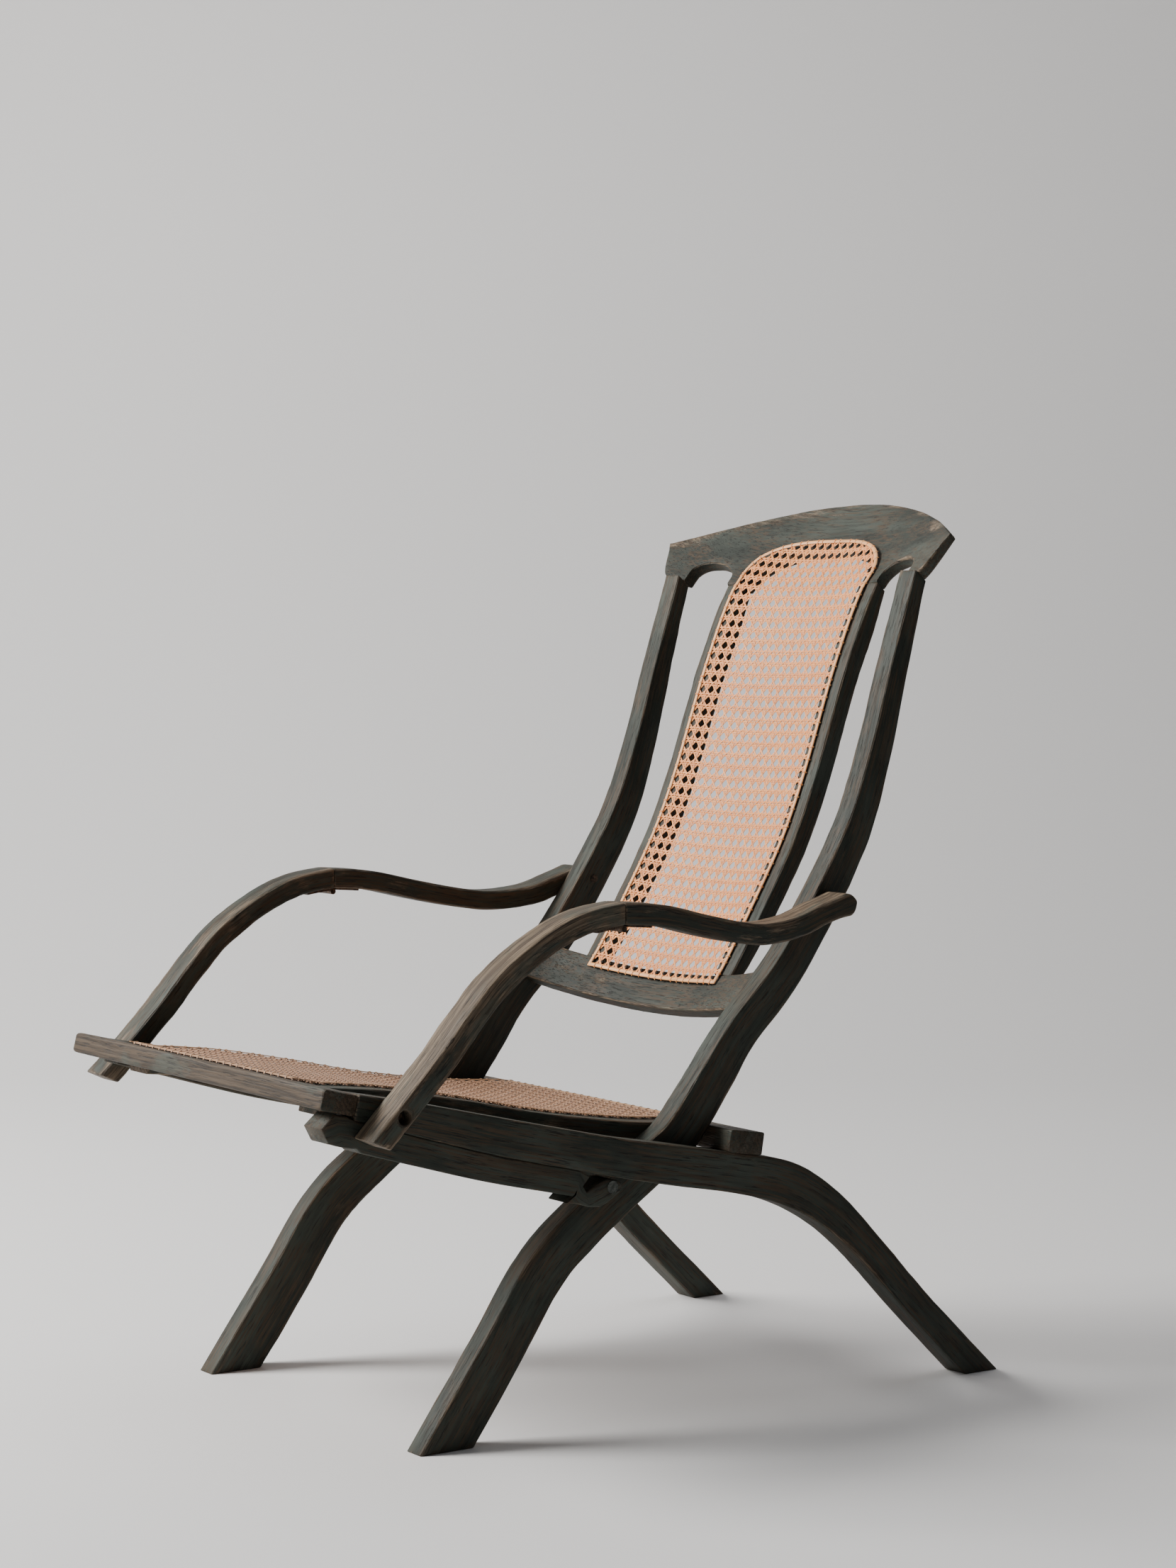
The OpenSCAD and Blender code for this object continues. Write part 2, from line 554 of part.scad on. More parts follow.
module crest_body() {
    slope_frame(post_top) intersection() {
        bowed(crest_r, crest_t, -10, crest_h + 10, 2 + sag(crest_r, post_mid));
        translate([0, 0, -200]) linear_extrude(400) crest_outline();
    }
}
// Tenon of the crest's joints at x, its lower end at s, with its length up the slope
module crest_tenon(x, s, length, grow) {
    slope_frame(post_top)
        translate([x - 8 - grow, s - grow, crest_back(x) + (crest_t - tenon_t) / 2 - grow])
            cube([16 + 2 * grow, length + 2 * grow, tenon_t + 2 * grow]);
}
module tenon(grow) { both_sides() crest_tenon(post_mid, joint_s - 16, 34, grow); }
module crest_rail() {
    color(paint) set_in_place() difference() {
        crest_body();
        tenon(fit);
        both_sides() stile_tenon(fit);
    }
}
module lower_body() {
    slope_frame(lower_end) intersection() {
        bowed(lower_r, lower_rail_t, 0, lower_rail_h, sag(lower_r, post_in));
        translate([-post_in, -10, -200]) cube([2 * post_in, lower_rail_h + 20, 400]);
    }
}
module lower_tenon(grow) {
    both_sides() slope_frame(lower_end)
        translate([post_in - 14 - grow, 9 - grow, 4 - grow])
            cube([26 + 2 * grow, 26 + 2 * grow, 7 + 2 * grow]);
}
module stile_tenon(grow) { crest_tenon(stile_mid, stile_s - 11, 23, grow); }
module lower_back_rail() {
    color(paint) set_in_place() difference() {
        lower_body();
        lower_tenon(fit);
    }
}
module crest_tenons() {
    color(bare) set_in_place() {
        tenon(0);
        lower_tenon(0);
        both_sides() stile_tenon(0);
    }
}
module inner_stile() {
    color(paint) set_in_place() difference() {
        bar(face_band(stile_line), stile_in, stile_out);
        slope_frame(lower_end) translate([0, lower_rail_h - 60, -80]) cube([rail_out, 60, 160]);
        slope_frame(post_top) translate([0, stile_s, -80]) cube([rail_out, 60, 160]);
        stile_tenon(fit);
    }
}

// Back caning: the net follows the stiles' front faces and bows back between them
sheet_x = stile_in + hole_inset + 2;
// The net's straight stretches pass over the bend where the stiles meet the crest
head_lift = 1.5;
function net_bow(x, v) = max(0, stile_in * stile_in - x * x) / 2 * ((1 - v) / lower_r + v / crest_r);
net_low = lower_end + (lower_rail_h - hole_inset - 2) * slope_a + lower_back(sheet_x) * slope_b;
net_head = post_top + (arch_s + hole_inset + 2) * slope_a + crest_back(sheet_x) * slope_b;
back_face = concat([net_low], [for (p = stile_line)
    if (p[1] > stile_foot[1] && p[1] < stile_head[1]) flat(p)], [net_head]);
function lengths(p, i = 0, s = 0) = i >= len(p) - 1 ? [s]
    : concat([s], lengths(p, i + 1, s + norm(p[i + 1] - p[i])));
back_len = lengths(back_face);
back_total = back_len[len(back_len) - 1];
back_side = back_total - (arch_s - stile_s) - 2;
function along(s) = let (
    y = lookup(s, [for (i = [0:len(back_face) - 1]) [back_len[i], back_face[i][0]]]),
    z = lookup(s, [for (i = [0:len(back_face) - 1]) [back_len[i], back_face[i][1]]])) [y, z];
function back_reach(x) = let (u = min(abs(x) / sheet_x, 1))
    back_side + (back_total - back_side) * sqrt(max(0, 1 - pow(u, 2.67)));
function back_point(u, v) = let (
    x = sheet_x * (2 * u - 1), s = v * back_reach(x),
    p = along(s), t = unit(along(min(s + 4, back_total)) - along(max(s - 4, 0))), n = [t[1], -t[0]],
    q = p + n * (net_bow(x, v) - contact - 0.15 - cane_t - head_lift * max(0, v - 0.75) / 0.25))
    [[x, q[0], q[1]], [0, n[0], n[1]]];
module back_cane() {
    nu = 2 * back_cols + 1;
    nv = 2 * back_rows + 1;
    color(cane) set_in_place() mirror([1, 0, 0]) net([for (i = [0:nu]) [for (j = [0:nv])
        back_point(net_place(i, back_cols, net_bar), net_place(j, back_rows, net_bar))]], nu, nv, cane_t);
}
// How far a bent rail falls back between the inner edge and the middle of a stile
function step_in(r) = sag(r, stile_mid) - sag(r, stile_in);
function lift_at(z) = let (z0 = net_low[1] + 0.73 * (net_head[1] - net_low[1]))
    head_lift * max(0, (z - z0) / (net_head[1] - z0));
module back_binder() {
    inner = contact + cane_t + 0.6;
    side_run = [for (p = stile_line) if (p[1] > stile_foot[1] - 1 && p[1] < stile_head[1] + 1) p];
    front = [for (i = [0:len(side_run) - 1]) side(side_run, i, -inner - binder_t - lift_at(side_run[i][1]))];
    rear = [for (i = [len(side_run) - 1:-1:0]) side(side_run, i, -inner - lift_at(side_run[i][1]))];
    color(cane) set_in_place() {
        both_sides() bar(concat(front, rear), sheet_x - binder_w - 1, sheet_x - 1);
        slope_frame(lower_end) intersection() {
            bowed(lower_r, binder_t, lower_rail_h - hole_inset - 2, lower_rail_h - hole_inset - 2 + binder_w,
                sag(lower_r, post_in) - inner - binder_t - step_in(lower_r));
            translate([-sheet_x, -10, -200]) cube([2 * sheet_x, 100, 400]);
        }
        slope_frame(post_top) intersection() {
            bowed(crest_r, binder_t, 0, crest_h,
                2 + sag(crest_r, post_mid) - inner - binder_t - step_in(crest_r) - head_lift);
            translate([0, 0, -200]) linear_extrude(400) difference() {
                arch_region(sheet_x - 1, arch_s + hole_inset + 1);
                arch_region(sheet_x - 1 - binder_w, arch_s + hole_inset + 1 - binder_w);
            }
        }
    }
}
module arch_region(w, top) {
    polygon([for (a = [0:6:180]) [w * sign(cos(a)) * pow(abs(cos(a)), 0.75), stile_s + (top - stile_s) * sin(a)]]);
}
module arm_pins() {
    color(iron) set_in_place() both_sides() rod(rear_pin, arm_pin_r, post_in - 1, post_out);
}

// Arms: the front section stands on the side rail, the rear section runs in beside the post
module arm_front() {
    color(paint) set_in_place() difference() {
        bar(band(front_arm_line), arm_in, arm_in + arm_w);
        translate([0, knuckle[0] - butt_gap / 2, 0]) cube([400, 40, 700]);
        translate([0, foot_corner[0], foot_corner[1]]) rotate([foot_slope, 0, 0])
            translate([0, -60, -60]) cube([400, 160, 60]);
        leaf_plate(-1, 0.1, 12);
        rod(bolt, bolt_r + fit + 0.02, arm_in - 1, arm_in + arm_w + 1);
        rod(bolt, bolt_head_r + contact, arm_in + arm_w - 19 - contact, arm_in + arm_w + 1);
    }
}
module arm_rear() {
    tip = arm_depth / 2 + 1;
    color(paint) set_in_place() difference() {
        intersection() {
            union() {
                bar(band(rear_arm_line), arm_rear_in, arm_in + arm_w);
                rod(rear_pin + [0, 1], tip, arm_rear_in, arm_in + arm_w);
            }
            linear_extrude(pivot_h + 400) polygon(concat(
                [for (p = arm_sweep) [arm_in + p[0] * arm_taper, p[1]]],
                [for (i = [len(arm_sweep) - 1:-1:0]) [arm_in + arm_w + arm_sweep[i][0] * arm_taper, arm_sweep[i][1]]]));
        }
        translate([0, knuckle[0] + butt_gap / 2 - 60, 0]) cube([400, 60, 700]);
        leaf_plate(1, 0.1, 12);
        rod(rear_pin, arm_pin_r + contact, arm_rear_in - 1, arm_rear_in + 18);
    }
}
leaf_x = arm_in + 3;
leaf_w = arm_w - 6;
// Plate of a leaf, forward of the knuckle (dir -1) or behind it (dir 1), grown by a clearance
module leaf_plate(dir, grow, drop) {
    translate([leaf_x - grow, knuckle[0], knuckle[1] + barrel_r + 0.3 + leaf_in])
        rotate([dir < 0 ? front_leaf_slope : rear_leaf_slope, 0, 0])
            translate([0, dir < 0 ? -leaf_l - grow : barrel_r + 0.5, -drop])
                cube([leaf_w + 2 * grow, leaf_l - barrel_r - 0.5 + grow, drop + grow]);
}
// One leaf with its barrels; own lists its stretches of the barrel as shares of the width
module leaf(dir, own) {
    neck_z = knuckle[1] + barrel_r - leaf_t / 2;
    color(iron) set_in_place() difference() {
        union() {
            leaf_plate(dir, 0, leaf_t + leaf_in / 2);
            for (s = own) {
                translate([leaf_x + leaf_w * s[0] + 0.15, dir < 0 ? knuckle[0] - barrel_r - 2 : knuckle[0], neck_z - leaf_t / 2])
                    cube([leaf_w * (s[1] - s[0]) - 0.3, barrel_r + 2, leaf_t]);
                rod(knuckle, barrel_r, leaf_x + leaf_w * s[0] + 0.15, leaf_x + leaf_w * s[1] - 0.15);
            }
        }
        rod(knuckle, hinge_pin_r + fit, leaf_x - 1, leaf_x + leaf_w + 1);
    }
}
module hinge_leaf_front() { leaf(-1, [[0, 0.3], [0.7, 1]]); }
module hinge_leaf_rear() { leaf(1, [[0.3, 0.7]]); }
module hinge_pin() { color(iron) set_in_place() rod(knuckle, hinge_pin_r, arm_in + 2, arm_in + arm_w - 2); }
module left() { mirror([1, 0, 0]) children(); }

left() side_rail();  // side_rail_left
side_rail();  // side_rail_right
seat_front_rail();
seat_rear_rail();
left() seat_side_rail();  // seat_side_rail_left
seat_side_rail();  // seat_side_rail_right
seat_cane();
seat_binder();
rail_batten();
batten_peg();
frame_dowels();
pivot_pins();
arm_bolts();
left() post();  // post_left
post();  // post_right
crest_rail();
left() inner_stile();  // inner_stile_left
inner_stile();  // inner_stile_right
lower_back_rail();
back_cane();
back_binder();
crest_tenons();
arm_pins();
left() arm_front();  // arm_front_left
left() hinge_leaf_front();  // hinge_leaf_front_left
left() hinge_pin();  // hinge_pin_left
left() arm_rear();  // arm_rear_left
left() hinge_leaf_rear();  // hinge_leaf_rear_left
arm_front();  // arm_front_right
hinge_leaf_front();  // hinge_leaf_front_right
hinge_pin();  // hinge_pin_right
arm_rear();  // arm_rear_right
hinge_leaf_rear();  // hinge_leaf_rear_right
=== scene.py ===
"""Looks of the folding cane lounge armchair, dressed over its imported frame."""

import logging
import math
from dataclasses import dataclass, field
from enum import Enum
from functools import cached_property

import bmesh
import bpy
import numpy as np
from mathutils import Matrix, Vector


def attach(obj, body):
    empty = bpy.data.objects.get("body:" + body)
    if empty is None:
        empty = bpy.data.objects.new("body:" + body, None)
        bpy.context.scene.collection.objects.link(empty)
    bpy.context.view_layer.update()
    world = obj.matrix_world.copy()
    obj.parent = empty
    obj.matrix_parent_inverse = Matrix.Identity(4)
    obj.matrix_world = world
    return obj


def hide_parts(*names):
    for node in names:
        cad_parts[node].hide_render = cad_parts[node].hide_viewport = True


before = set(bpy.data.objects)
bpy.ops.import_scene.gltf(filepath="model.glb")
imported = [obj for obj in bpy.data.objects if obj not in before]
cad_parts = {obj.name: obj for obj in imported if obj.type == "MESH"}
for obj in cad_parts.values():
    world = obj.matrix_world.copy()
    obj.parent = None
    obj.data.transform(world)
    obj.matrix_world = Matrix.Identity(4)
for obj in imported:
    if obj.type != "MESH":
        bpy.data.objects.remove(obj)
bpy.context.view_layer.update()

logging.basicConfig(level=logging.INFO, format="%(name)s: %(message)s")
LOG = logging.getLogger("armchair")

MM = 0.001
Array = np.ndarray


class Side(Enum):
    """The two sides of the chair, with the sign of X on each."""

    LEFT = -1
    RIGHT = 1

    @property
    def word(self) -> str:
        """Name of the side as the nodes use it."""
        return self.name.lower()


class Body(Enum):
    """Bodies of the frame that pieces ride on."""

    SEAT = "seat_frame"
    BACK = "back_frame"
    FRONT_ARM = "front_arm"
    REAR_ARM = "rear_arm"

    def on(self, side: Side) -> str:
        """Name of the body on one side, for the arms, which come in pairs."""
        return f"{self.value}_{side.word}"


class Slot(Enum):
    """Material slots of the record."""

    PAINT = "painted_wood"
    BARE = "bare_wood"
    CANE = "cane"


# Curves and surfaces as arrays

def smooth(knots: Array, steps: int) -> Array:
    """Run a smooth curve through a row of knots.

    Each stretch is the cubic whose slope at a knot is half the way from the knot before it to the one after.

    Args:
        knots: One row a knot; further columns, such as a depth, are carried along.
        steps: Points on each stretch.

    Returns:
        One row a point, ending on the last knot.
    """
    k = np.vstack([knots[:1], knots, knots[-1:]])
    a, b, c, d = k[:-3, None], k[1:-2, None], k[2:-1, None], k[3:, None]
    t = (np.arange(steps) / steps)[None, :, None]
    cubic = 2 * b + (c - a) * t + (2 * a - 5 * b + 4 * c - d) * t**2 + (3 * b - a - 3 * c + d) * t**3
    return np.vstack([0.5 * cubic.reshape(-1, knots.shape[1]), knots[-1:]])


def unit(v: Array) -> Array:
    """Scale each row to length one."""
    return v / np.linalg.norm(v, axis=-1, keepdims=True)


def run_length(path: Array) -> Array:
    """Distance along a path at each of its points."""
    return np.concatenate([[0.0], np.cumsum(np.linalg.norm(np.diff(path, axis=0), axis=1))])


def sideways(line: Array) -> Array:
    """Unit direction square to a side-view line at each point: its tangent turned back by a quarter."""
    t = unit(np.gradient(line[:, :2], axis=0))
    return np.stack([t[:, 1], -t[:, 0]], axis=1)


def edge_of(line: Array, way: int) -> Array:
    """Edge of a member, half its depth off its line: the front one for -1, the rear one for 1."""
    return line[:, :2] + way * sideways(line) * line[:, 2:] / 2


def bent_back(near: Array, x: Array, radius: float, thick: float) -> Array:
    """Depth of the rear face of a rail that is bent to a radius, a thickness behind its front face."""
    return near + np.sqrt((radius + thick) ** 2 - x ** 2) - np.sqrt(radius ** 2 - x ** 2)


def bands(rings: int, count: int) -> Array:
    """Quads from ring to ring of a skin, one row of four vertex numbers each."""
    i, j = np.meshgrid(np.arange(rings - 1), np.arange(count), indexing="ij")
    here, following = i * count + j, i * count + (j + 1) % count
    return np.stack([here, following, following + count, here + count], axis=-1).reshape(-1, 4)


def wander(s: Array, seed: int, pitch: float) -> Array:
    """Slow seeded waver between -1 and 1, the mean of five sines whose phases come from the seed.

    Args:
        s: Distance along the piece in millimetres.
        seed: Any whole number.
        pitch: Rough length of one waver in millimetres.

    Returns:
        One value a distance.
    """
    rng = np.random.default_rng(seed)
    sines = 5
    rate = rng.uniform(0.5, 2.2, sines)
    phase = rng.uniform(0, 6.28, sines)
    return np.sin(2 * np.pi * np.asarray(s)[..., None] / pitch * rate + phase).mean(axis=-1)


def rounded_ring(half_w: Array, half_h: Array, radius: Array, arc: int = 4,
                 flats: int = 3) -> tuple[Array, Array]:
    """Ring round a rectangle whose four corners are arcs.

    A corner's points are its centre plus the radius times (cos, sin) over a quarter turn, and the flats
    between two corners are divided evenly.

    Args:
        half_w: Half the width of each ring.
        half_h: Half the height of each ring.
        radius: Radius of each ring's four corners, one row a ring.
        arc: Steps round one corner.
        flats: Points between two corners.

    Returns:
        The rings' points, and how far each lies from the middle of the nearest corner.
    """
    sign = np.array([[1, 1], [-1, 1], [-1, -1], [1, -1]], float)
    turn = np.radians(np.arange(4)[:, None] * 90 + np.linspace(0, 90, arc + 1)[None])
    r = radius[:, :, None]
    x = sign[None, :, :1] * (half_w[:, None, None] - r) + r * np.cos(turn)
    y = sign[None, :, 1:] * (half_h[:, None, None] - r) + r * np.sin(turn)
    corner = np.stack([x, y], axis=-1)
    last, following = corner[:, :, -1:], np.roll(corner[:, :, :1], -1, axis=1)
    t = (np.arange(1, flats + 1) / (flats + 1))[None, None, :, None]
    flat = last * (1 - t) + following * t
    count = len(half_w)
    rim_arc = np.broadcast_to(r * np.abs(np.radians(np.linspace(-45, 45, arc + 1))), (count, 4, arc + 1))
    reach = np.linalg.norm(following - last, axis=-1)
    rim_flat = r * math.pi / 4 + np.minimum(t[..., 0], 1 - t[..., 0]) * reach
    ring = np.concatenate([corner, flat], axis=2).reshape(count, -1, 2)
    rim = np.concatenate([rim_arc, rim_flat], axis=2).reshape(count, -1)
    return ring, rim


@dataclass
class Lofted:
    """A closed skin through a row of rings, with what the finishes read from it.

    Attributes:
        points: Places, ring by ring, in millimetres.
        grain: Across, depth and length of each point within its board, in millimetres.
        rim: Distance of each point from the nearest arris in millimetres.
    """

    points: Array
    grain: Array
    rim: Array

    def along(self) -> Array:
        """Unit direction from ring to ring."""
        return unit(np.gradient(self.points.mean(axis=1), axis=0))

    def cut(self, at: Array, facing: Array, end: bool) -> "Lofted":
        """Saw one end off on a plane, and carry the last whole ring straight on to it.

        Args:
            at: A point of the plane.
            facing: Direction of the waste, square to the plane.
            end: True for the last ring's end, False for the first ring's.

        Returns:
            The skin that is left, ending on the plane.
        """
        part = self if end else self.turned()
        over = (part.points - at) @ facing
        past = np.append(over.max(axis=1) > -0.5, True)
        keep = int(np.argmax(past))
        ray = part.along()[keep - 1]
        step = -over[keep - 1][:, None] / (ray @ facing)
        ring = part.points[keep - 1] + step * ray
        grain = part.grain[keep - 1].copy()
        grain[:, 2] += step[:, 0] * (1 if end else -1)
        made = Lofted(np.concatenate([part.points[:keep], ring[None]]),
                      np.concatenate([part.grain[:keep], grain[None]]),
                      np.concatenate([part.rim[:keep], part.rim[keep - 1:keep]]))
        return made if end else made.turned()

    def turned(self) -> "Lofted":
        """The same skin with its rings in the other order."""
        return Lofted(self.points[::-1], self.grain[::-1], self.rim[::-1])

    def eased(self, by: float, first: bool = True, last: bool = True) -> "Lofted":
        """Round the arrises of the two ends: three rings drawn in by 0, 0.3 and 1 of the easing.

        Args:
            by: Easing in millimetres.
            first: Ease the first ring's end.
            last: Ease the last ring's end.

        Returns:
            The skin with eased ends.
        """
        part = self
        for wanted in (last, first):
            if wanted:
                end, ray = part.points[-1], part.along()[-1]
                middle = end.mean(axis=0)
                spread = np.linalg.norm(end - middle, axis=1, keepdims=True)
                inward = (middle - end) / spread
                bit = 0.3 * by
                rings = [end - by * ray, end - bit * ray + bit * inward, end + by * inward]
                rims = [np.minimum(part.rim[-1], nearest) for nearest in (by, bit, by)]
                part = Lofted(np.concatenate([part.points[:-1], np.stack(rings)]),
                              np.concatenate([part.grain[:-1], np.repeat(part.grain[-1:], 3, axis=0)]),
                              np.concatenate([part.rim[:-1], np.stack(rims)]))
            part = part.turned()
        return part


def skin_mesh(name: str, lofted: Lofted, bare: Array | float = 0.0, seed: int = 0) -> bpy.types.Object:
    """Make the mesh of a closed skin: quads from ring to ring and one face on each end.

    Args:
        name: Name of the piece.
        lofted: Its skin.
        bare: How bare of paint each point is, from 0 to 1.
        seed: Moves the piece's grain so that no two boards match.

    Returns:
        The piece, at the origin, with the attributes grain and wear.
    """
    rings, count = lofted.points.shape[:2]
    first = list(range(count))
    last = [(rings - 1) * count + k for k in range(count)]
    mesh = bpy.data.meshes.new(name)
    faces = bands(rings, count).tolist() + [first, last]
    mesh.from_pydata((lofted.points.reshape(-1, 3) * MM).tolist(), [], faces)
    shift = np.random.default_rng(seed).uniform(0, 4, 3)
    put_vectors(mesh, "grain", lofted.grain.reshape(-1, 3) * MM + shift)
    weight = np.broadcast_to(bare, lofted.rim.shape)
    tone = np.full(lofted.rim.shape, shift[0] % 1)
    put_vectors(mesh, "wear", np.stack([lofted.rim, weight, tone], axis=-1).reshape(-1, 3))
    return finish_mesh(mesh)


def put_vectors(mesh: bpy.types.Mesh, name: str, values: Array) -> None:
    """Store one vector a vertex under a name."""
    attribute = mesh.attributes.new(name, "FLOAT_VECTOR", "POINT")
    attribute.data.foreach_set("vector", np.ascontiguousarray(values, dtype=np.float32).ravel())


def finish_mesh(mesh: bpy.types.Mesh, crease: float = 32.0, merge: bool = True) -> bpy.types.Object:
    """Merge doubles, turn faces outward, shade smooth with creases, and hand over the object.

    Args:
        mesh: The mesh.
        crease: Angle in degrees above which an edge stays sharp.
        merge: Merge doubles and work out the faces' outward side.

    Returns:
        A new object at the origin.
    """
    if merge:
        work = bmesh.new()
        work.from_mesh(mesh)
        bmesh.ops.remove_doubles(work, verts=work.verts, dist=1e-6)
        bmesh.ops.dissolve_degenerate(work, edges=work.edges, dist=1e-6)
        bmesh.ops.recalc_face_normals(work, faces=work.faces)
        work.to_mesh(mesh)
        work.free()
    mesh.polygons.foreach_set("use_smooth", np.ones(len(mesh.polygons), dtype=bool))
    mesh.set_sharp_from_angle(angle=math.radians(crease))
    mesh.update()
    piece = bpy.data.objects.new(mesh.name, mesh)
    bpy.context.scene.collection.objects.link(piece)
    return piece


@dataclass(frozen=True)
class Sizes:
    """The chair's own sizes in millimetres, in the side view of the part's source."""

    seat_w: float = 500.0
    rail_t: float = 32.6
    post_t: float = 25.4
    arm_w: float = 35.6
    pivot_h: float = 252.0
    reach: float = 360.0
    lift: float = 86.0
    rear_spread: float = 394.0
    front_spread: float = 242.0
    back_rise: float = 568.0
    back_lean: float = 333.0
    slope: float = 50.0
    crest_t: float = 14.0
    crest_h: float = 137.0
    ear_h: float = 54.0
    crest_w: float = 480.0
    crest_bow: float = 38.4
    lower_h: float = 45.0
    lower_t: float = 14.0
    lower_bow: float = 27.0
    arm_depth: float = 21.0
    joint_s: float = 9.0
    stile_s: float = 14.0
    arch_s: float = 67.0
    slot_s: float = 40.0
    head_lift: float = 1.5
    pivot_y: float = -51.0
    post_gap: float = 1.4
    seat_rise: float = 12.0
    front_d: float = 38.0
    front_h: float = 19.5
    front_r: float = 3.0
    rear_d: float = 42.0
    rear_h: float = 22.9
    rear_tilt: float = -9.0
    stile_in: float = 100.0
    stile_out: float = 129.0
    caned_in: float = 150.5
    caned_out: float = 189.5
    arch_power: float = 0.75
    arm_gap: float = 0.4
    arm_tail: float = 26.5
    foot_slope: float = -25.0


@dataclass(frozen=True)
class Plan:
    """Lines and stations that the pieces share, worked out from the sizes as the part's source does."""

    z: Sizes = field(default_factory=Sizes)

    @property
    def pivot(self) -> Array:
        """Main pivot in the side view."""
        return np.array([self.z.pivot_y, self.z.pivot_h])

    @cached_property
    def middle(self) -> float:
        """How far the chair moves back so that the middle of its outline is over the origin."""
        depth = self.crest_back(0) + self.z.crest_t
        peak = self.post_top + self.z.crest_h * self.up_slope + depth * self.off_slope
        return float(-(self.front_edge + peak[0]) / 2)

    @property
    def rail_out(self) -> float:
        """Outer face of a side rail."""
        return self.z.seat_w / 2

    @property
    def rail_in(self) -> float:
        """Inner face of a side rail."""
        return self.rail_out - self.z.rail_t

    @property
    def post_out(self) -> float:
        """Outer face of a post."""
        return self.rail_in - self.z.post_gap

    @property
    def post_in(self) -> float:
        """Inner face of a post."""
        return self.post_out - self.z.post_t

    @property
    def arm_in(self) -> float:
        """Inner face of an arm at its foot, beside the side rail."""
        return self.rail_out + self.z.arm_gap

    def knots(self, rows: list[tuple[float, float, float]]) -> Array:
        """Knots given from the pivot, with a depth each."""
        table = np.array(rows, float)
        table[:, :2] += self.pivot
        return table

    def rail_line(self, steps: int = 10) -> Array:
        """Centre line and depth of a side rail, from its nose to below the rear foot."""
        r, f, h, w = self.z.reach, self.z.lift, self.z.pivot_h, self.z.rear_spread
        return smooth(self.knots([
            (-r, f, 24), (-0.82 * r, 0.81 * f, 30), (-0.58 * r, 0.545 * f, 35), (-0.36 * r, 0.325 * f, 36),
            (-0.18 * r, 0.15 * f, 37), (0, 0, 39), (0.185 * w, -0.056 * h, 39), (0.348 * w, -0.12 * h, 43),
            (0.485 * w, -0.238 * h, 38), (0.612 * w, -0.409 * h, 31.5), (0.774 * w, -0.663 * h, 30),
            (0.96 * w, -0.937 * h, 30), (1.03 * w, -1.04 * h, 30)]), steps)

    def post_line(self, steps: int = 10) -> Array:
        """Centre line and depth of a post, from below the front foot to its top."""
        a, h, n, r = self.z.front_spread, self.z.pivot_h, self.z.back_lean, self.z.back_rise
        return smooth(self.knots([
            (-a - 8, -1.045 * h, 48), (-0.748 * a, -0.67 * h, 48), (-0.541 * a, -0.385 * h, 47),
            (-0.33 * a, -0.21 * h, 46), (0, 0, 42), (0.102 * n, 0.044 * r, 43), (0.231 * n, 0.139 * r, 41),
            (0.324 * n, 0.21 * r, 38), (0.517 * n, 0.3275 * r, 37), (0.745 * n, 0.532 * r, 33),
            (0.847 * n, 0.687 * r, 28), (0.92 * n, 0.84 * r, 23), (n, r, 17), (n + 4, r + 14, 17)]), steps)

    def seat_line(self, steps: int = 10) -> Array:
        """Top face of the seat rails, from the nose back to the rear rail."""
        r, f = self.z.reach, self.z.lift
        start = self.seat_start - self.pivot
        return smooth(self.knots([
            (start[0] - 1, start[1] - 0.5, 26), (-0.785 * r, f + 2, 26), (-0.555 * r, f - 14, 26),
            (-0.33 * r, f - 32, 26), (-0.136 * r, f - 44, 26), (11, f - 52, 26), (72, f - 56.5, 26)]), steps)

    @property
    def nose(self) -> Array:
        """Middle of a side rail's front end."""
        return self.pivot + [-self.z.reach, self.z.lift]

    @property
    def nose_dir(self) -> Array:
        """Direction in which a side rail leaves its front end."""
        line = self.rail_line(5)
        return unit(line[1, :2] - line[0, :2])

    @property
    def nose_up(self) -> Array:
        """Direction square to a side rail's front end, upward."""
        return np.array([-self.nose_dir[1], self.nose_dir[0]])

    @property
    def seat_start(self) -> Array:
        """Front end of the seat's top face, over the rail's nose."""
        return self.nose + self.z.seat_rise * self.nose_up

    @property
    def front_edge(self) -> float:
        """Foremost point of the front rail."""
        d, r = self.nose_dir, self.z.front_r
        low = self.z.seat_rise - self.z.front_h
        return float(self.nose[0] - (self.z.front_d - r) * d[0] - (low + r) * d[1] - r)

    @property
    def rear_rail(self) -> Array:
        """Top front arris of the rear rail."""
        seat, post = self.seat_line(5), self.post_line(5)
        z = np.interp(self.pivot[0] + 71, seat[:, 0], seat[:, 1])
        back = edge_of(post, 1)
        return np.array([np.interp(z, back[:, 1], back[:, 0]) + 0.7, z])

    @property
    def rear_back(self) -> Array:
        """Direction of the rear rail's tilted top, backward."""
        tilt = math.radians(self.z.rear_tilt)
        return np.array([math.cos(tilt), math.sin(tilt)])

    @property
    def seat_holes(self) -> tuple[float, float]:
        """Places of the seat's front and rear rows of holes."""
        return self.nose[0] - 13, self.rear_rail[0] + 11

    @property
    def up_slope(self) -> Array:
        """Direction up the sloping back rails in the side view."""
        return np.array([math.cos(math.radians(self.z.slope)), math.sin(math.radians(self.z.slope))])

    @property
    def off_slope(self) -> Array:
        """Direction square to the slope, backward."""
        return np.array([self.up_slope[1], -self.up_slope[0]])

    @property
    def post_face(self) -> Array:
        """Front face of a post."""
        return edge_of(self.post_line(5), -1)

    @cached_property
    def post_top(self) -> Array:
        """Front of a post where its crest joint starts, one stretch of the curve below its end."""
        return self.post_face[-6]

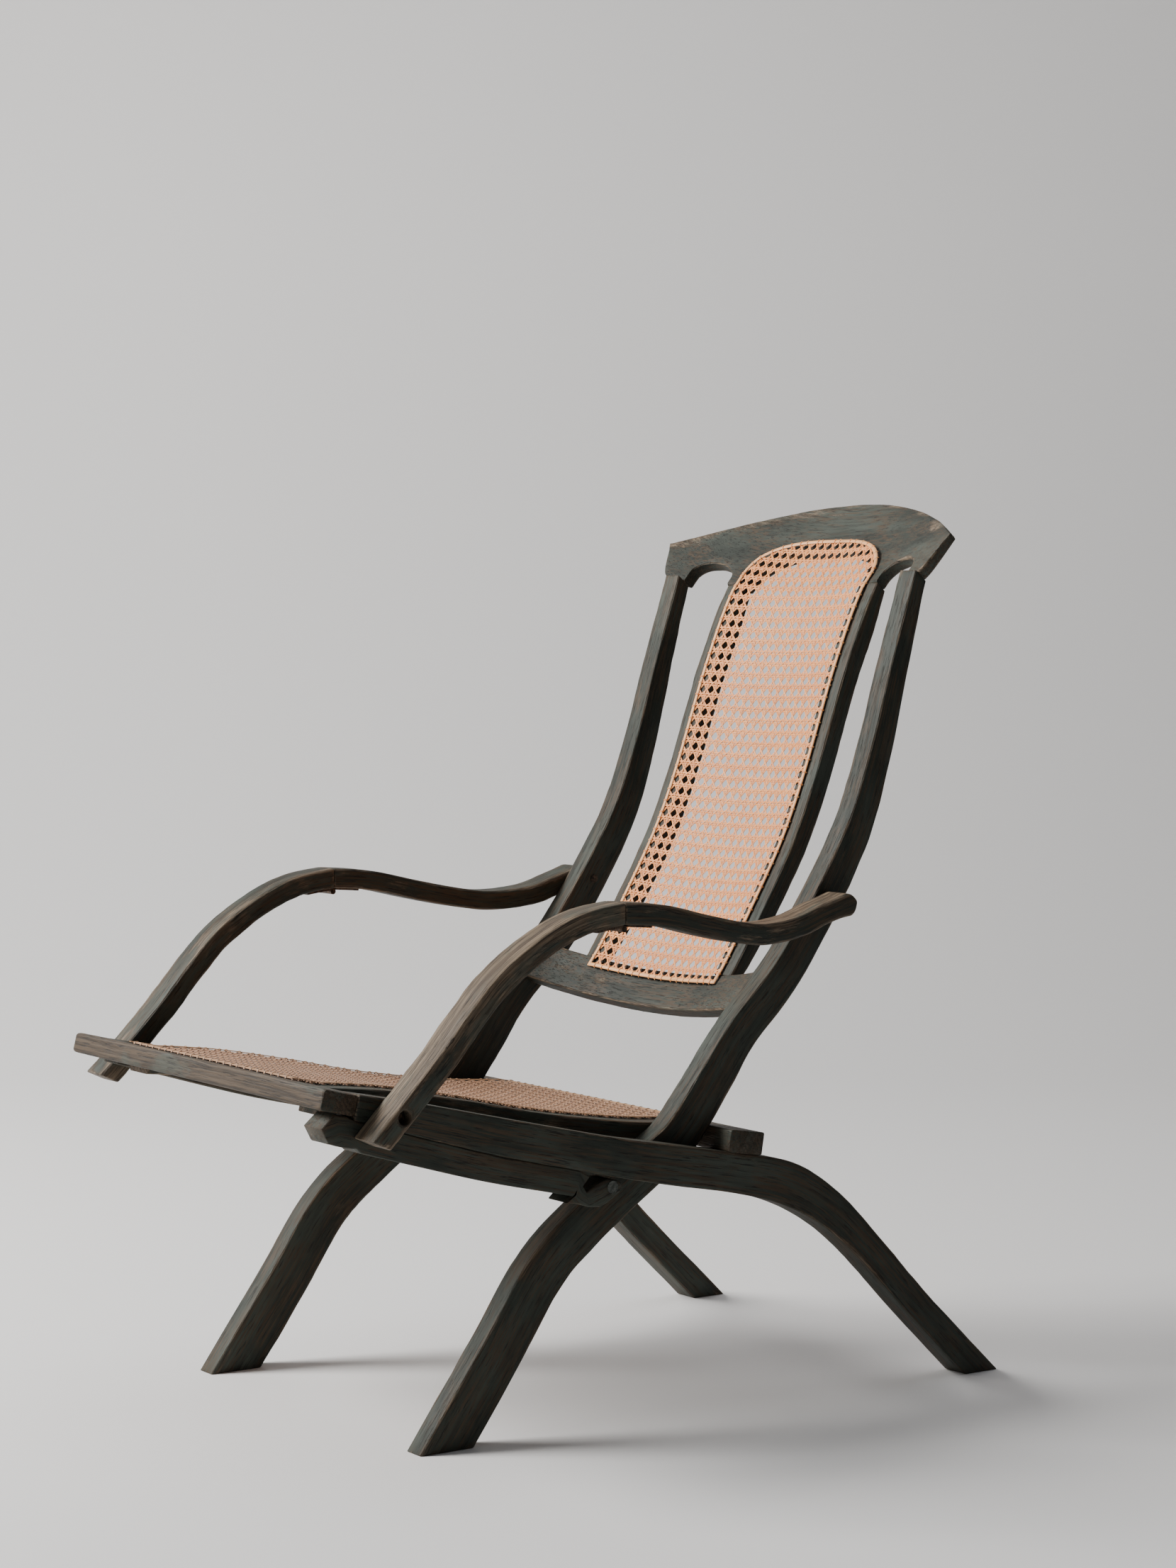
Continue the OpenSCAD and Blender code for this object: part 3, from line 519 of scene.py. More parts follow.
    def before_post(self, z: float, gap: float) -> float:
        """Place at a height, a gap behind the post's front face."""
        return float(np.interp(z, self.post_face[:, 1], self.post_face[:, 0]) + gap)

    @property
    def lower_end(self) -> Array:
        """Lower front edge of the lower back rail where it meets a post."""
        z = self.z.pivot_h + 141
        return np.array([self.before_post(z, 13), z])

    @property
    def crest_r(self) -> float:
        """Radius of the crest's hollow face."""
        return ((self.z.crest_w / 2) ** 2 + self.z.crest_bow ** 2) / (2 * self.z.crest_bow)

    @property
    def lower_r(self) -> float:
        """Radius of the lower rail's hollow face."""
        return (self.post_in ** 2 + self.z.lower_bow ** 2) / (2 * self.z.lower_bow)

    def crest_back(self, x: Array) -> Array:
        """Depth of the crest's face behind the post tops."""
        x = np.asarray(x, float)
        middle = (self.post_in + self.post_out) / 2
        return 2 + np.sqrt(self.crest_r ** 2 - x ** 2) - math.sqrt(self.crest_r ** 2 - middle ** 2)

    def lower_back(self, x: Array) -> Array:
        """Depth of the lower rail's face behind its ends."""
        x = np.asarray(x, float)
        return np.sqrt(self.lower_r ** 2 - x ** 2) - math.sqrt(self.lower_r ** 2 - self.post_in ** 2)

    @property
    def stile_mid(self) -> float:
        """Middle of an inner stile."""
        return (self.z.stile_in + self.z.stile_out) / 2

    @property
    def stile_foot(self) -> Array:
        """Front face of a stile at the lower rail."""
        depth = self.lower_back(self.stile_mid)
        return self.lower_end + self.z.lower_h * self.up_slope + depth * self.off_slope

    @property
    def stile_head(self) -> Array:
        """Front face of a stile at the crest."""
        depth = self.crest_back(self.stile_mid)
        return self.post_top + self.z.stile_s * self.up_slope + depth * self.off_slope

    def stile_line(self, steps: int = 10) -> Array:
        """Front face and depth of an inner stile."""
        foot, head, a = self.stile_foot, self.stile_head, self.up_slope
        rows = [(foot[0] - 20 * a[0], foot[1] - 20 * a[1], 14), (foot[0], foot[1], 14)]
        rows += [(self.before_post(foot[1] + up, gap), foot[1] + up, depth)
                 for up, gap, depth in ((44, 20, 17), (130, 12, 20), (205, 9, 20), (300, 12, 20))]
        t = self.z.crest_t
        rows += [(self.before_post(head[1] - 40, 18), head[1] - 40, 20), (head[0], head[1], t),
                 (head[0] + 20 * a[0], head[1] + 20 * a[1], t)]
        return smooth(np.array(rows, float), steps)

    @property
    def peg(self) -> Array:
        """Axis of the peg through the batten's tail."""
        return self.pivot + [-77, -13]

    @property
    def knuckle(self) -> Array:
        """Axis of the knuckle hinges."""
        return self.pivot + [-87, 236.5]

    @property
    def arm_z(self) -> float:
        """Height of the arms' centre line at the knuckle."""
        return float(self.knuckle[1] + 3.5 + self.z.arm_depth / 2)

    @property
    def rear_pin(self) -> Array:
        """Axis of the arms' rear pins, on the posts' centre line."""
        post = self.post_line(5)
        z = self.z.pivot_h + 242
        return np.array([np.interp(z, post[:, 1], post[:, 0]), z])

    @property
    def bolt(self) -> Array:
        """Axis of the arms' front bolts, on the side rails' centre line."""
        rail = self.rail_line(5)
        y = self.nose[0] + 29
        return np.array([y, np.interp(y, rail[:, 0], rail[:, 1])])

    def front_arm_line(self, steps: int = 10) -> Array:
        """Centre line of a front arm section, from its foot to the knuckle."""
        b, k, z, tail = self.bolt, self.knuckle[0], self.arm_z, self.z.arm_tail
        return smooth(np.array([
            (b[0] - tail, b[1] - tail), (b[0], b[1]), (b[0] + 42, b[1] + 43), (b[0] + 79, b[1] + 85),
            (k - 133, z - 55), (k - 89, z - 26), (k - 45, z - 7), (k + 6, z + 1)], float), steps)

    def rear_arm_line(self, steps: int = 10) -> Array:
        """Centre line of a rear arm section, from the knuckle to its pin."""
        p, k, z = self.rear_pin, self.knuckle[0], self.arm_z
        return smooth(np.array([
            (k - 6, z + 0.5), (k + 46, z - 4), (k + 102, z - 16.5), (k + 149, z - 26),
            (p[0] - 111, p[1] - 22), (p[0] - 64, p[1] - 18), (p[0] - 28, p[1] - 7),
            (p[0], p[1] + 1)], float), steps)

    def place(self, x: Array, line: Array) -> Array:
        """Points of the whole chair's frame from a distance across and a side-view place."""
        x = np.broadcast_to(x, line.shape[:-1])
        return np.stack([x, line[..., 0] + self.middle, line[..., 1]], axis=-1)

    def plane(self, at: Array, facing: Array) -> tuple[Array, Array]:
        """Plane across the chair through a side-view place."""
        return self.place(np.array(0.0), np.asarray(at, float)), np.array([0.0, facing[0], facing[1]])

    @property
    def ground(self) -> tuple[Array, Array]:
        """Plane on which the feet are sawn, a hair over the floor."""
        return self.plane([0, 0.02], [0, -1])


def member(plan: Plan, line: Array, half: Array, x0: Array, x1: Array, soft: float, seed: int,
           square: Array | None = None) -> Lofted:
    """Skin of a curved member that lies along a side-view line.

    A point is the line's place, plus its ring's height along the line's square direction, plus its ring's
    width along X. Each of the four arrises has its own radius, which wavers along the piece as on worn wood.

    Args:
        plan: The chair's plan.
        line: Centre line in the side view.
        half: Half the depth at each point of the line.
        x0: Distance across of the one face at each point.
        x1: Distance across of the other face.
        soft: Mean radius of the arrises.
        seed: Sets the wavers.
        square: Direction of each ring's height, where it isn't square to the line.

    Returns:
        The skin.
    """
    count = len(line)
    s = run_length(line[:, :2])
    half = np.broadcast_to(half, count)
    x0, x1 = np.broadcast_to(x0, count), np.broadcast_to(x1, count)
    waver = np.stack([wander(s, seed + k, 90) + 0.6 * wander(s, seed + 7 + k, 26) for k in range(4)], axis=1)
    room = np.minimum(half, abs(x1 - x0) / 2)
    radius = np.minimum(soft * (1 + 0.55 * waver), 0.45 * room[:, None] + 0.2)
    ring, rim = rounded_ring(abs(x1 - x0) / 2, half, radius)
    square = sideways(line) if square is None else square
    flat = line[:, None, :2] + ring[..., 1:] * square[:, None]
    points = plan.place(((x0 + x1) / 2)[:, None] + ring[..., 0], flat)
    grain = np.concatenate([ring, np.broadcast_to(s[:, None, None], ring.shape[:2] + (1,))], axis=-1)
    return Lofted(points, grain, rim)


def beam(plan: Plan, x: Array, low: Array, high: Array, near: Array, far: Array, origin: Array,
         up: Array, back: Array, soft: float, seed: int) -> Lofted:
    """Skin of a rail that runs across the chair.

    A point is the origin, plus its height along the up direction between low and high, plus its depth along
    the back direction between near and far, at its distance across.

    Args:
        plan: The chair's plan.
        x: Stations across the chair.
        low: Lower edge at each station.
        high: Upper edge at each station.
        near: Depth of the front face at each station.
        far: Depth of the rear face at each station.
        origin: Side-view place that heights and depths count from.
        up: Side-view direction of height.
        back: Side-view direction of depth.
        soft: Mean radius of the arrises.
        seed: Sets the wavers.

    Returns:
        The skin.
    """
    count = len(x)
    low, high, near, far = (np.broadcast_to(v, count).astype(float) for v in (low, high, near, far))
    waver = np.stack([wander(x, seed + k, 110) + 0.5 * wander(x, seed + 9 + k, 30) for k in range(4)], axis=1)
    room = np.minimum(high - low, far - near) / 2
    radius = np.minimum(soft * (1 + 0.5 * waver), 0.8 * room[:, None])
    ring, rim = rounded_ring((high - low) / 2, (far - near) / 2, radius, flats=5)
    height = ((low + high) / 2)[:, None] + ring[..., 0]
    depth = ((near + far) / 2)[:, None] + ring[..., 1]
    flat = origin + height[..., None] * up + depth[..., None] * back
    points = plan.place(x[:, None], flat)
    grain = np.stack([height, depth, np.broadcast_to(x[:, None], height.shape)], axis=-1)
    return Lofted(points, grain, rim)


@dataclass
class Workshop:
    """Places finished pieces on their bodies with their finishes."""

    finishes: dict[str, bpy.types.Material]
    count: int = 0

    def place(self, piece: bpy.types.Object, body: str, slot: Slot, finish: str, *nodes: str) -> None:
        """Dress a piece, let it ride on a body and stand for its CAD nodes.

        Args:
            piece: The piece.
            body: Name of its body.
            slot: Material slot of the record; not used.
            finish: Name of the finish.
            nodes: CAD nodes that the piece stands for.
        """
        piece.data.materials.clear()
        piece.data.materials.append(self.finishes[finish])
        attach(piece, body)
        if nodes:
            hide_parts(*nodes)
        self.count += 1
        LOG.info("%s on %s, %d faces, %s", piece.name, body, len(piece.data.polygons), finish)

    def dress(self, node: str, finish: str) -> None:
        """Give a CAD node that stays the finish of that name."""
        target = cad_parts[node]
        for slot in target.material_slots:
            slot.material = self.finishes[finish]
        if not target.material_slots:
            target.data.materials.append(self.finishes[finish])
        LOG.info("%s dressed, %s", node, finish)


@dataclass
class SeatFrame:
    """Side rails with their rear legs, the rails between them, and the batten under the right one."""

    plan: Plan
    shop: Workshop
    soft: float = 1.9

    def side_rail(self, side: Side) -> None:
        """Make one side rail, from its nose over the knee to the rear foot."""
        p = self.plan
        line = p.rail_line()
        lofted = member(p, line, line[:, 2] / 2, p.rail_in, p.rail_out, self.soft, 11 + side.value)
        lofted = lofted.cut(*p.ground, end=True).eased(1.2)
        piece = skin_mesh(f"rail_{side.word}", mirrored(lofted, side), seed=21 + side.value)
        self.shop.place(piece, Body.SEAT.value, Slot.PAINT, "paint", f"side_rail_{side.word}")

    def seat_side_rail(self, side: Side) -> None:
        """Make one inner rail that carries the caning."""
        p = self.plan
        line = p.seat_line()
        lofted = member(p, edge_of(line, 1), line[:, 2] / 2, p.z.caned_in, p.z.caned_out, self.soft,
                        31 + side.value)
        lofted = lofted.cut(*p.plane(p.nose, -p.nose_dir), end=False)
        lofted = lofted.cut(*p.plane(p.rear_rail, p.rear_back), end=True).eased(0.3)
        piece = skin_mesh(f"caned_rail_{side.word}", mirrored(lofted, side), 0.25, seed=41 + side.value)
        self.shop.place(piece, Body.SEAT.value, Slot.PAINT, "paint", f"seat_side_rail_{side.word}")

    def front_rail(self) -> None:
        """Make the flat rail across the front, bare and worn round at its ends."""
        p = self.plan
        x = np.linspace(-p.rail_out, p.rail_out, 90)
        worn = 14
        high = p.z.seat_rise - 0.9 * np.clip((abs(x) - (p.rail_out - worn)) / worn, 0, 1) ** 2
        low = p.z.seat_rise - p.z.front_h - 1
        near = 0.7 - p.z.front_d
        lofted = beam(p, x, low, high, near, 0, p.nose, p.nose_up, p.nose_dir, 3.0, 51).eased(2.4)
        bare = 0.85 - 2.0 * (abs(lofted.points[..., 0]) > p.rail_out - 1.2)
        piece = skin_mesh("front_rail", lofted, bare, seed=52)
        self.shop.place(piece, Body.SEAT.value, Slot.BARE, "bare", "seat_front_rail")

    def rear_rail(self) -> None:
        """Make the flat rail over the side rails' backs, whose front arris stops the posts."""
        p = self.plan
        back = p.rear_back
        up = np.array([-back[1], back[0]])
        x = np.linspace(-p.rail_out + 0.3, p.rail_out - 0.3, 80)
        lofted = beam(p, x, -p.z.rear_h, 0, 0, p.z.rear_d, p.rear_rail, up, back, 2.2, 61).eased(1.6)
        bare = 0.7 - 2.0 * (abs(lofted.points[..., 0]) > p.rail_out - 2)
        piece = skin_mesh("rear_rail", lofted, bare, seed=62)
        self.shop.place(piece, Body.SEAT.value, Slot.BARE, "bare", "seat_rear_rail")

    def batten(self) -> None:
        """Make the batten glued under the right rail, from its pointed front end to its hooked tail.

        Each ring stands between a point of the upper outline and one of the lower. Between the two ends these
        follow the rail's underside, and the batten's height grows a little toward the front.
        """
        p = self.plan
        nose, peg = p.nose, p.peg
        under = edge_of(p.rail_line(), 1)
        end, tallest, length = peg[0] + 13, 27, 340
        run = under[(under[:, 0] > nose[0] + 8) & (under[:, 0] < end - 44)]
        height = tallest * (0.86 + 0.14 * (end - run[:, :1]) / length)
        front = np.array([[(-37, -16), (-29, -31)], [(-30, -10.5), (-21.5, -33)], [(-23, -4.5), (-14, -35)],
                          [(-10, -7.5), (-7, -36.5)], [(1, -13), (0, -37.5)]]) + nose
        tail = np.array([[(-26, 12.5), (-52, -10.5)], [(-34, 5), (-37, -13)], [(-30, -2), (-26, -17)],
                         [(-15, 5), (-14, -18)], [(-6, 7.5), (-6, -15)], [(0, 7.5), (1, -11)],
                         [(7, 5.5), (8, -6.5)], [(10.5, 3.5), (12.5, -2.5)]]) + peg
        below = run + np.hstack([np.full_like(height, -6), -height])
        pairs = np.concatenate([front, np.stack([run, below], axis=1), tail])
        line, across = pairs.mean(axis=1), pairs[:, 0] - pairs[:, 1]
        half = np.linalg.norm(across, axis=1) / 2
        lofted = member(p, line, half, p.rail_in, p.rail_out, 1.6, 171, square=-unit(across)).eased(1.0)
        lofted.rim = lofted.rim + 2.0
        piece = skin_mesh("batten", lofted, 0.0, seed=172)
        self.shop.place(piece, Body.SEAT.value, Slot.PAINT, "paint", "rail_batten")

    def build(self) -> None:
        """Make every piece of the seat frame."""
        for side in Side:
            self.side_rail(side)
            self.seat_side_rail(side)
        self.front_rail()
        self.rear_rail()
        self.batten()


def mirrored(lofted: Lofted, side: Side) -> Lofted:
    """The skin on the named side, made on the right."""
    return Lofted(lofted.points * [side.value, 1, 1], lofted.grain, lofted.rim)


@dataclass
class BackFrame:
    """Posts with their front legs, the crest, the lower rail and the stiles between them."""

    plan: Plan
    shop: Workshop
    soft: float = 1.8

    def post(self, side: Side) -> None:
        """Make one post, from the front foot to the crest."""
        p = self.plan
        line = p.post_line()
        lofted = member(p, line, line[:, 2] / 2, p.post_in, p.post_out, self.soft, 71 + side.value)
        lofted = lofted.cut(*p.ground, end=False)
        lofted = lofted.cut(*p.plane(p.post_top + p.z.joint_s * p.up_slope, p.up_slope), end=True)
        lofted = lofted.eased(1.2, last=False).eased(0.5, first=False)
        piece = skin_mesh(f"back_post_{side.word}", mirrored(lofted, side), seed=81 + side.value)
        self.shop.place(piece, Body.BACK.value, Slot.PAINT, "paint", f"post_{side.word}")

    def stile(self, side: Side) -> None:
        """Make one inner stile, whose front face carries the caning."""
        p = self.plan
        line = p.stile_line()
        lofted = member(p, edge_of(line, 1), line[:, 2] / 2, p.z.stile_in, p.z.stile_out, self.soft,
                        91 + side.value)
        lofted = lofted.cut(*p.plane(p.lower_end + p.z.lower_h * p.up_slope, -p.up_slope), end=False)
        lofted = lofted.cut(*p.plane(p.post_top + p.z.stile_s * p.up_slope, p.up_slope), end=True)
        lofted = lofted.eased(0.4, first=False)
        piece = skin_mesh(f"caned_stile_{side.word}", mirrored(lofted, side), seed=95 + side.value)
        self.shop.place(piece, Body.BACK.value, Slot.PAINT, "paint", f"inner_stile_{side.word}")

    def lower_rail(self) -> None:
        """Make the bent rail between the posts under the caning."""
        p = self.plan
        x = np.linspace(-p.post_in, p.post_in, 80)
        near = p.lower_back(x)
        far = bent_back(near, x, p.lower_r, p.z.lower_t)
        lofted = beam(p, x, 0.0, p.z.lower_h, near, far, p.lower_end, p.up_slope, p.off_slope, 1.7, 101)
        piece = skin_mesh("lower_rail", lofted, 0.15, seed=102)
        self.shop.place(piece, Body.BACK.value, Slot.PAINT, "paint", "lower_back_rail")

    def crest_edge(self) -> tuple[Array, Array]:
        """Lower outline of the crest from its middle out to an ear.

        It runs over the arch above the caning, along the stile's joint, over the slot's arch, along the
        post's joint and up round the ear.

        Returns:
            Distances across and heights above the post tops.
        """
        p = self.plan
        turn = np.radians(np.linspace(90, 0, 22))
        rise, outer, slot_h = p.z.arch_s - p.z.stile_s, p.z.stile_out, 20
        arch = np.stack([p.z.stile_in * np.cos(turn) ** p.z.arch_power,
                         p.z.stile_s + rise * np.sin(turn)], axis=1)
        half = (p.post_in - outer) / 2
        over = np.radians(np.linspace(180, 0, 25))
        slot = np.stack([outer + half + half * np.cos(over),
                         p.z.slot_s - slot_h + slot_h * np.sin(over)], axis=1)
        w, e = p.z.crest_w / 2, p.z.ear_h
        ear = smooth(np.array([(p.post_out, p.z.joint_s), (w - 17, e - 39.5), (w - 10.5, e - 27),
                               (w - 5, e - 13), (w - 2, e - 7)], float), 5)
        rows = np.vstack([arch, [(outer, p.z.stile_s)], slot, [(p.post_in, p.z.joint_s)], ear,
                          [(w - 0.2, e - 3)]])
        return rows[:, 0], rows[:, 1]

    def crest(self) -> None:
        """Make the bent crest with its arched top, ears, slots and the arch over the caning."""
        p = self.plan
        x, low = self.crest_edge()
        x, low = np.concatenate([-x[:0:-1], x]), np.concatenate([low[:0:-1], low])
        u = (2 * x / p.z.crest_w) ** 2
        crown, hair = 6, 0.1
        high = p.z.crest_h - (p.z.crest_h - p.z.ear_h + crown) * u + crown * u * u - hair
        near = p.crest_back(x)
        thinned, taper = 5.0, 36
        tip = np.clip((np.abs(x) - p.z.crest_w / 2 + taper) / taper, 0, 1)
        far = bent_back(near, x, p.crest_r, p.z.crest_t) - hair - thinned * tip ** 2
        lofted = beam(p, x, low, high, near, far, p.post_top, p.up_slope, p.off_slope, 2.2, 111)
        worn = 22
        bare = 0.55 * np.clip((lofted.grain[..., 0] - high[:, None] + worn) / worn, 0, 1)
        piece = skin_mesh("crest", lofted, bare, seed=112)
        self.shop.place(piece, Body.BACK.value, Slot.PAINT, "paint", "crest_rail")

    def build(self) -> None:
        """Make every piece of the back frame."""
        for side in Side:
            self.post(side)
            self.stile(side)
        self.lower_rail()
        self.crest()


@dataclass
class ArmLinkage:
    """The two sections of one arm, a little thinner than in the plan so that their wavers stay inside it."""

    plan: Plan
    shop: Workshop
    side: Side
    soft: float = 3.0
    spare: float = 0.5
    gap: float = 0.2

    def front(self) -> None:
        """Make the front section, with the deep hole for its bolt's head."""
        p = self.plan
        outer = p.arm_in + p.z.arm_w
        lofted = member(p, p.front_arm_line(), p.z.arm_depth / 2, p.arm_in, outer - self.spare, self.soft,
                        121 + self.side.value)
        lofted = lofted.cut(*p.plane(p.knuckle - [self.gap, 0], [1, 0]), end=True)
        off = 0.35 * p.z.arm_depth
        corner = p.bolt - p.z.arm_tail + [-off, off]
        slant = math.radians(p.z.foot_slope)
        lofted = lofted.cut(*p.plane(corner, [math.sin(slant), -math.cos(slant)]), end=False).eased(1.6)
        piece = skin_mesh(f"front_arm_{self.side.word}", mirrored(lofted, self.side), self.handled(lofted),
                          seed=131 + self.side.value)
        bore(piece, p.place(np.array(self.side.value * outer), p.bolt), radius=7.0, depth=19.0)
        self.shop.place(piece, Body.FRONT_ARM.on(self.side), Slot.PAINT, "arm", f"arm_front_{self.side.word}")

    def rear(self) -> None:
        """Make the rear section, which sweeps inward and ends round beside the post."""
        p = self.plan
        depth = p.z.arm_depth / 2
        tip, steps, swell = depth + 1, 10, 6
        line = p.rear_arm_line()
        turn = np.radians(np.linspace(8, 86, steps))
        ray = unit(line[-1] - line[-2])
        line = np.vstack([line, line[-1] + tip * np.sin(turn)[:, None] * ray])
        half = np.concatenate([np.full(len(line) - steps, depth), tip * np.cos(turn)])
        half[-steps - swell:-steps] = np.linspace(depth, tip, swell)
        k, r = p.knuckle[0], p.rear_pin[0]
        sweep = smooth(np.array([[0, k - 20], [0, k + 15], [-0.09, k + 70], [-0.85, r - 80], [-1, r - 36],
                                 [-1, r + 40]], float), 8)
        taper = p.arm_in - p.post_out - p.z.arm_gap
        x0 = p.arm_in + taper * np.interp(line[:, 0], sweep[:, 1], sweep[:, 0])
        x1 = x0 + p.z.arm_w - self.spare
        lofted = member(p, line, half, x0, x1, self.soft, 141 + self.side.value)
        lofted = lofted.cut(*p.plane(p.knuckle + [self.gap, 0], [-1, 0]), end=False).eased(1.0, last=False)
        piece = skin_mesh(f"rear_arm_{self.side.word}", mirrored(lofted, self.side),
                          self.handled(lofted) - 0.2, seed=151 + self.side.value)
        self.shop.place(piece, Body.REAR_ARM.on(self.side), Slot.PAINT, "arm", f"arm_rear_{self.side.word}")

    def handled(self, lofted: Lofted) -> Array:
        """How bare each point of a section is: hands have worn its top, and paint lasts on its sides."""
        top = np.clip(-2 * lofted.grain[..., 1] / self.plan.z.arm_depth, 0, 1) ** 2
        return 0.25 + 0.55 * top if self.side is Side.RIGHT else 0.1 + 0.15 * top

    def build(self) -> None:
        """Make both sections."""
        self.front()
        self.rear()


def bore(piece: bpy.types.Object, mouth: Array, radius: float, depth: float) -> None:
    """Bore a blind hole along X into the side of a piece that faces away from the middle.

    Args:
        piece: The piece.
        mouth: Middle of the hole's mouth in millimetres.
        radius: Radius of the hole.
        depth: Depth of the hole.
    """
    steps, outside, far_from_arris = 40, 3, 30.0
    turn = np.linspace(0, 2 * np.pi, steps, endpoint=False)
    inward = -np.sign(mouth[0])
    circle = [radius * np.cos(turn), radius * np.sin(turn)]
    rows = np.stack([np.stack([np.full(steps, x * inward), *circle], axis=1) for x in (-outside, depth)])
    cutter = skin_mesh("cutter", Lofted(rows + mouth, rows, np.full(rows.shape[:2], far_from_arris)))
    tool = piece.modifiers.new("bore", "BOOLEAN")
    tool.operation = "DIFFERENCE"
    tool.solver = "EXACT"
    tool.object = cutter
    bpy.context.view_layer.update()
    done = bpy.data.meshes.new_from_object(piece.evaluated_get(bpy.context.evaluated_depsgraph_get()))
    piece.modifiers.clear()
    name = piece.data.name
    piece.data = done
    done.name = name
    bpy.data.objects.remove(cutter)


class Weave(Enum):
    """Families of strands in six-way caning."""

    UPRIGHT = "uprights"
    CROSSING = "crossings"
    RISING = "rising_diagonals"
    FALLING = "falling_diagonals"


@dataclass
class Strands:
    """Rows of a ribbon mesh, gathered strand by strand."""

    points: list[Array] = field(default_factory=list)
    runs: list[Array] = field(default_factory=list)
    faces: list[Array] = field(default_factory=list)
    used: int = 0

    def add(self, centre: Array, normal: Array, width: float, thick: float, tone: float) -> None:
        """Add one ribbon: a flat base, and a top drawn in at its edges so that it shades as a dome.

        Args:
            centre: Middle of the ribbon at each station.
            normal: Outward direction at each station.
            width: Width of the ribbon.
            thick: Thickness of the ribbon.
            tone: Shade of this strand, from 0 to 1.
        """
        ray = unit(np.gradient(centre, axis=0))
        lateral = unit(np.cross(normal, ray))
        across = np.array([-0.5, 0.5, 0.3, -0.3]) * width
        height = np.array([-0.5, -0.5, 0.5, 0.5]) * thick
        points = (centre[:, None] + across[None, :, None] * lateral[:, None]
                  + height[None, :, None] * normal[:, None])
        along = run_length(centre) * MM
        run = np.stack(np.broadcast_arrays((across / width)[None], along[:, None], np.array(tone)), axis=-1)
        count = len(centre) * 4
        caps = np.array([[3, 2, 1, 0], [count - 4, count - 3, count - 2, count - 1]])
        self.points.append(points.reshape(-1, 3))
        self.runs.append(run.reshape(-1, 3))
        self.faces.append(np.concatenate([bands(len(centre), 4), caps]) + self.used)
        self.used += count

    def piece(self, name: str) -> bpy.types.Object:
        """Make the mesh of all the strands, with the attribute run."""
        mesh = bpy.data.meshes.new(name)
        mesh.from_pydata((np.concatenate(self.points) * MM).tolist(), [], np.concatenate(self.faces).tolist())
        put_vectors(mesh, "run", np.concatenate(self.runs))
        return finish_mesh(mesh, crease=75.0, merge=False)


